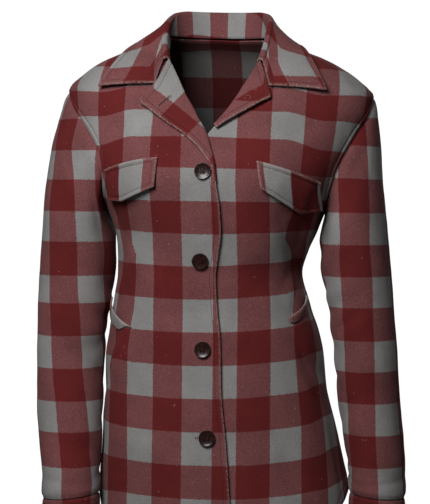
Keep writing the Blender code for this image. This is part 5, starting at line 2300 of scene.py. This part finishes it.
@dataclass
class Studio:
    """Pale floor, soft light and the camera at the photograph's angle."""

    azimuth: float = 8.0
    elevation: float = 2.0
    distance: float = 2.6
    target: Tuple[float, float, float] = (0.0, 0.0, -0.2925)
    metres_per_pixel: float = 0.001447
    frame: Tuple[int, int] = (430, 504)
    middle_right: float = 4.0
    floor_z: float = -1.45

    def camera(self) -> None:
        """Place the camera."""
        turn, lift = math.radians(self.azimuth), math.radians(self.elevation)
        back = Vector((math.sin(turn) * math.cos(lift), -math.cos(turn) * math.cos(lift), math.sin(lift)))
        data = bpy.data.cameras.new("camera")
        data.sensor_width = 36.0
        data.lens = data.sensor_width * self.distance / (self.frame[1] * self.metres_per_pixel)
        data.shift_x = -self.middle_right / self.frame[1]
        camera = linked("camera", data)
        camera.location = Vector(self.target) + back * self.distance
        camera.rotation_euler = (-back).to_track_quat("-Z", "Y").to_euler()
        bpy.context.scene.camera = camera

    def lamp(
        self, name: str, place: Tuple[float, float, float], size: float, power: float,
        aim: Tuple[float, float, float] = (0.0, 0.0, -0.3),
    ) -> None:
        """Hang a square soft lamp that looks at the jacket, or at another place."""
        data = bpy.data.lights.new(name, "AREA")
        data.size = size
        data.energy = power
        lamp = linked(name, data)
        lamp.location = place
        way = Vector(aim) - Vector(place)
        lamp.rotation_euler = way.to_track_quat("-Z", "Y").to_euler()
        lamp.visible_camera = False

    def light(self) -> None:
        """Hang the key, the fill and the rim lamps, and light the backdrop."""
        self.lamp("key", (-0.38, -1.38, 0.62), 0.7, 27.5)
        self.lamp("fill", (1.9, -1.6, 0.1), 1.6, 1.5)
        self.lamp("back_left", (-0.7, 2.1, 0.7), 1.2, 16.0)
        self.lamp("back_right", (0.7, 2.1, 0.6), 1.2, 16.0)
        self.lamp("floor_light", (0.0, 0.0, self.floor_z + 0.45), 7.0, 120.0, (0.0, 0.0, self.floor_z))
        world = bpy.data.worlds.new("studio")
        world.use_nodes = True
        tree = world.node_tree
        tree.nodes.clear()
        output = tree.nodes.new("ShaderNodeOutputWorld")
        seen, soft = [tree.nodes.new("ShaderNodeBackground") for _ in range(2)]
        for node, colour, strength in (
            (seen, (1.0, 1.0, 1.0, 1.0), 1.05), (soft, (0.95, 0.97, 1.0, 1.0), 0.07),
        ):
            node.inputs["Color"].default_value = colour
            node.inputs["Strength"].default_value = strength
        rays = tree.nodes.new("ShaderNodeLightPath")
        mix = tree.nodes.new("ShaderNodeMixShader")
        tree.links.new(rays.outputs["Is Camera Ray"], mix.inputs[0])
        tree.links.new(soft.outputs[0], mix.inputs[1])
        tree.links.new(seen.outputs[0], mix.inputs[2])
        tree.links.new(mix.outputs[0], output.inputs[0])
        bpy.context.scene.world = world
        bpy.context.scene.view_settings.view_transform = "Standard"

    def floor(self) -> None:
        """Lay the pale floor well below the jacket."""
        bpy.ops.object.select_all(action="DESELECT")
        bpy.ops.mesh.primitive_plane_add(size=1.0)
        floor = bpy.context.object
        floor.name = "floor"
        bpy.ops.object.mode_set(mode="EDIT")
        bpy.ops.mesh.select_all(action="SELECT")
        bpy.ops.transform.resize(value=(7.0, 7.0, 1.0))
        bpy.ops.mesh.subdivide(number_cuts=3)
        bpy.ops.transform.translate(value=(0.0, 0.0, self.floor_z))
        bpy.ops.object.mode_set(mode="OBJECT")
        floor.data.materials.append(PaleFloor().material("pale_floor"))
        floor.visible_diffuse = False
        floor.visible_glossy = False


@dataclass
class Jacket:
    """The whole jacket: its cloth pieces, stitching, buttonholes and buttons."""

    front_buttons: Tuple[float, ...] = (-177.0, -301.0, -424.0, -546.0)
    hole_aside: float = 6.5
    button_seat: float = 2.1
    lapel_hole: Tuple[Pair, Pair] = ((-73.0, -90.5), (-52.5, -72.0))
    loop_place: Pair = (54.3, -73.7)

    def __post_init__(self) -> None:
        """Make the finishes and the tools that several pieces share."""
        self.wool = WoolCheck().material("check_wool")
        self.thread_finish = SewingThread("3d1413", "1d0808").material("maroon_thread")
        self.hole_finish = SewingThread("6a4644", "3c2120").material("buttonhole_thread")
        self.lapel_finish = SewingThread("a8827e", "5e4240").material("lapel_thread")
        # Near-black thread laid along each buttonhole's slit as its painted shadow.
        self.slit_shadow_finish = SewingThread("140707", "0b0404").material("slit_shadow")
        self.button_finish = MouldedButton().material("dark_button")
        self.thread = Thread()
        self.mould = ButtonMould()
        self.lapel_cloth: Dict[Side, ClothGrid] = {}
        self.pocket_welts = {
            Side.RIGHT: HipPocket(
                Side.RIGHT, (41.0, -396.0), width=20.0, point=(-0.03, 0.5), weave_across=55.0, weave_down=6.0
            ),
            Side.LEFT: HipPocket(Side.LEFT, (52.0, -381.0), (83.0, -354.0), width=10.6, weave_down=50.0),
        }

    def add_cloth(self, node: str, grid: ClothGrid) -> None:
        """Make a cloth piece and say what it is.

        Args:
            node: CAD node that it stands for.
            grid: Its cloth.
        """
        made = grid.build(f"cloth_{node}")
        made.data.materials.append(self.wool)
        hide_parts(node)
        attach(made, "root")
        width, length = self.cut_size(grid)
        area = grid.flat_area()
        LOG.info(
            "%s: %d faces, flat %.0f x %.0f mm, area %.4f m2", made.name, len(made.data.polygons),
            width * 1000.0, length * 1000.0, area,
        )

    @staticmethod
    def cut_size(grid: ClothGrid) -> Pair:
        """Width and length of the cut piece, in metres."""
        width = max(travel(line + line[:1] if grid.wraps else line)[-1] for line in grid.face)
        length = max(travel(column)[-1] for column in zip(*grid.face))
        return width * MM, length * MM

    def add_stitches(self, node: str, rows: Sequence[Sequence[Spot]]) -> None:
        """Sew a cloth piece's rows of topstitching as one piece."""
        made = self.thread.sew(f"stitching_{node}", rows)
        self.settle(made, self.thread_finish, Slot.WOOL)

    def settle(self, made: bpy.types.Object, finish: bpy.types.Material, slot: Slot) -> None:
        """Give a piece its finish and let it ride on the jacket."""
        made.data.materials.append(finish)
        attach(made, "root")
        LOG.info("%s: %d faces", made.name, len(made.data.polygons))

    def body(self) -> None:
        """Lay the fronts and the back."""
        for side in Side:
            panels = BodyPanels()
            grid = panels.front(side)
            self.add_cloth(f"front_{side.word}", grid)
            self.add_stitches(f"front_{side.word}", panels.stitching)
        panels = BodyPanels()
        grid = panels.back()
        self.add_cloth("back", grid)
        self.add_stitches("back", panels.stitching)

    def arms(self) -> None:
        """Lay the sleeves and their cuffs."""
        for side in Side:
            sleeve = Sleeve(side)
            self.add_cloth(f"sleeve_{side.word}", sleeve.tube())
            self.add_cloth(f"cuff_{side.word}", sleeve.cuff())
            self.add_stitches(f"cuff_{side.word}", sleeve.stitching)

    def neck(self) -> None:
        """Lay the collar and the lapels."""
        collar = Collar()
        self.add_cloth("collar", collar.lay())
        self.add_stitches("collar", collar.stitching)
        for side in Side:
            right = side is Side.RIGHT
            lapel = Lapel(
                side, weave_across=18.0 if right else 22.0, edge_band=26.0 if right else 22.0,
                weave_down=28.0 if right else -77.7, weave_top=1.0 if right else -44.0,
                row_lean=(0.75, -0.66) if right else (0.0, -1.0),
            )
            grid = lapel.lay()
            self.add_cloth(f"lapel_{side.word}", grid)
            self.lapel_cloth[side] = grid
            self.add_stitches(f"lapel_{side.word}", lapel.stitching)

    def pockets(self) -> None:
        """Lay the chest flaps and the hip pockets' welts."""
        for side in Side:
            grey = (0.22, 0.675) if side is Side.RIGHT else (0.09, 0.52)
            flap = ChestFlap(side, grey_between=grey)
            self.add_cloth(f"flap_{side.word}", flap.lay())
            self.add_stitches(f"flap_{side.word}", flap.stitching)
            self.add_cloth(
                f"welt_{side.word}", self.pocket_welts[side].lay(),
            )

    def buttons(self) -> None:
        """Set the buttons, with their thread and their buttonholes."""
        blank = self.mould.blank()
        crosses, holes, slit_shadows = [], [], []
        for number, z in enumerate(self.front_buttons, 1):
            low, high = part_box(f"button_{number}")
            middle = (low + high) / 2.0
            normal = BODY.normal(0.0, z)
            base = middle - normal * self.button_seat * MM
            self.set_button(blank, f"button_piece_{number}", f"button_{number}", base, normal)
            crosses += self.mould.cross(base / MM, normal)
            hole = base / MM + Vector((-self.hole_aside, 0.0, 0.0)) - normal * 1.3
            buttonhole = Buttonhole(hole, Vector((1.0, 0.0, 0.0)), normal)
            holes += buttonhole.bars()
            slit_shadows += buttonhole.slit()
        for side in Side:
            low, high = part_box(f"cuff_button_{side.word}")
            normal = Sleeve(side).cuff_overlap()[1]
            size = 0.82
            base = (low + high) / 2.0 - normal * self.button_seat * size * MM
            self.set_button(
                blank, f"cuff_button_piece_{side.word}", f"cuff_button_{side.word}", base, normal, size
            )
            crosses += self.mould.cross(base / MM, normal, size)
        bpy.data.objects.remove(blank)
        lapel = self.lapel_cloth[Side.RIGHT]
        (start, normal), (end, _) = [lying_on(lapel, x, z) for x, z in self.lapel_hole]
        middle = lying_on(lapel, (start.x + end.x) / 2.0, (start.z + end.z) / 2.0)[0]
        lapel_hole = Buttonhole(BODY.lean(middle) + normal * 1.5, end - start, normal, length=25.0)
        lapel_holes = lapel_hole.bars()
        slit_shadows += lapel_hole.slit()
        place, normal = lying_on(self.lapel_cloth[Side.LEFT], *self.loop_place)
        lapel_holes += ThreadRing(BODY.lean(place) + normal * 0.3, normal).bars()
        self.settle(self.thread.bars("lapel_holes_thread", lapel_holes, 0.8), self.lapel_finish, Slot.WOOL)
        self.settle(self.thread.bars("button_thread", crosses, 1.0), self.thread_finish, Slot.WOOL)
        self.settle(self.thread.bars("buttonhole_thread", holes, 0.8), self.hole_finish, Slot.WOOL)
        self.settle(self.thread.bars("buttonhole_slit_shadows", slit_shadows, 1.2), self.slit_shadow_finish, Slot.WOOL)

    def set_button(
        self, blank: bpy.types.Object, name: str, node: str, base: Vector, normal: Vector,
        size: float = 1.0,
    ) -> None:
        """Set one button in place of its CAD node."""
        made = self.mould.copy_to(blank, name, base, normal, size)
        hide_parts(node)
        self.settle(made, self.button_finish, Slot.BUTTON)


def main() -> None:
    """Build the jacket and its studio."""
    logging.basicConfig(level=logging.INFO, format="%(name)s %(message)s")
    studio = Studio()
    studio.camera()
    studio.light()
    studio.floor()
    jacket = Jacket()
    jacket.body()
    jacket.arms()
    jacket.neck()
    jacket.pockets()
    jacket.buttons()


if __name__ == "__main__":
    main()
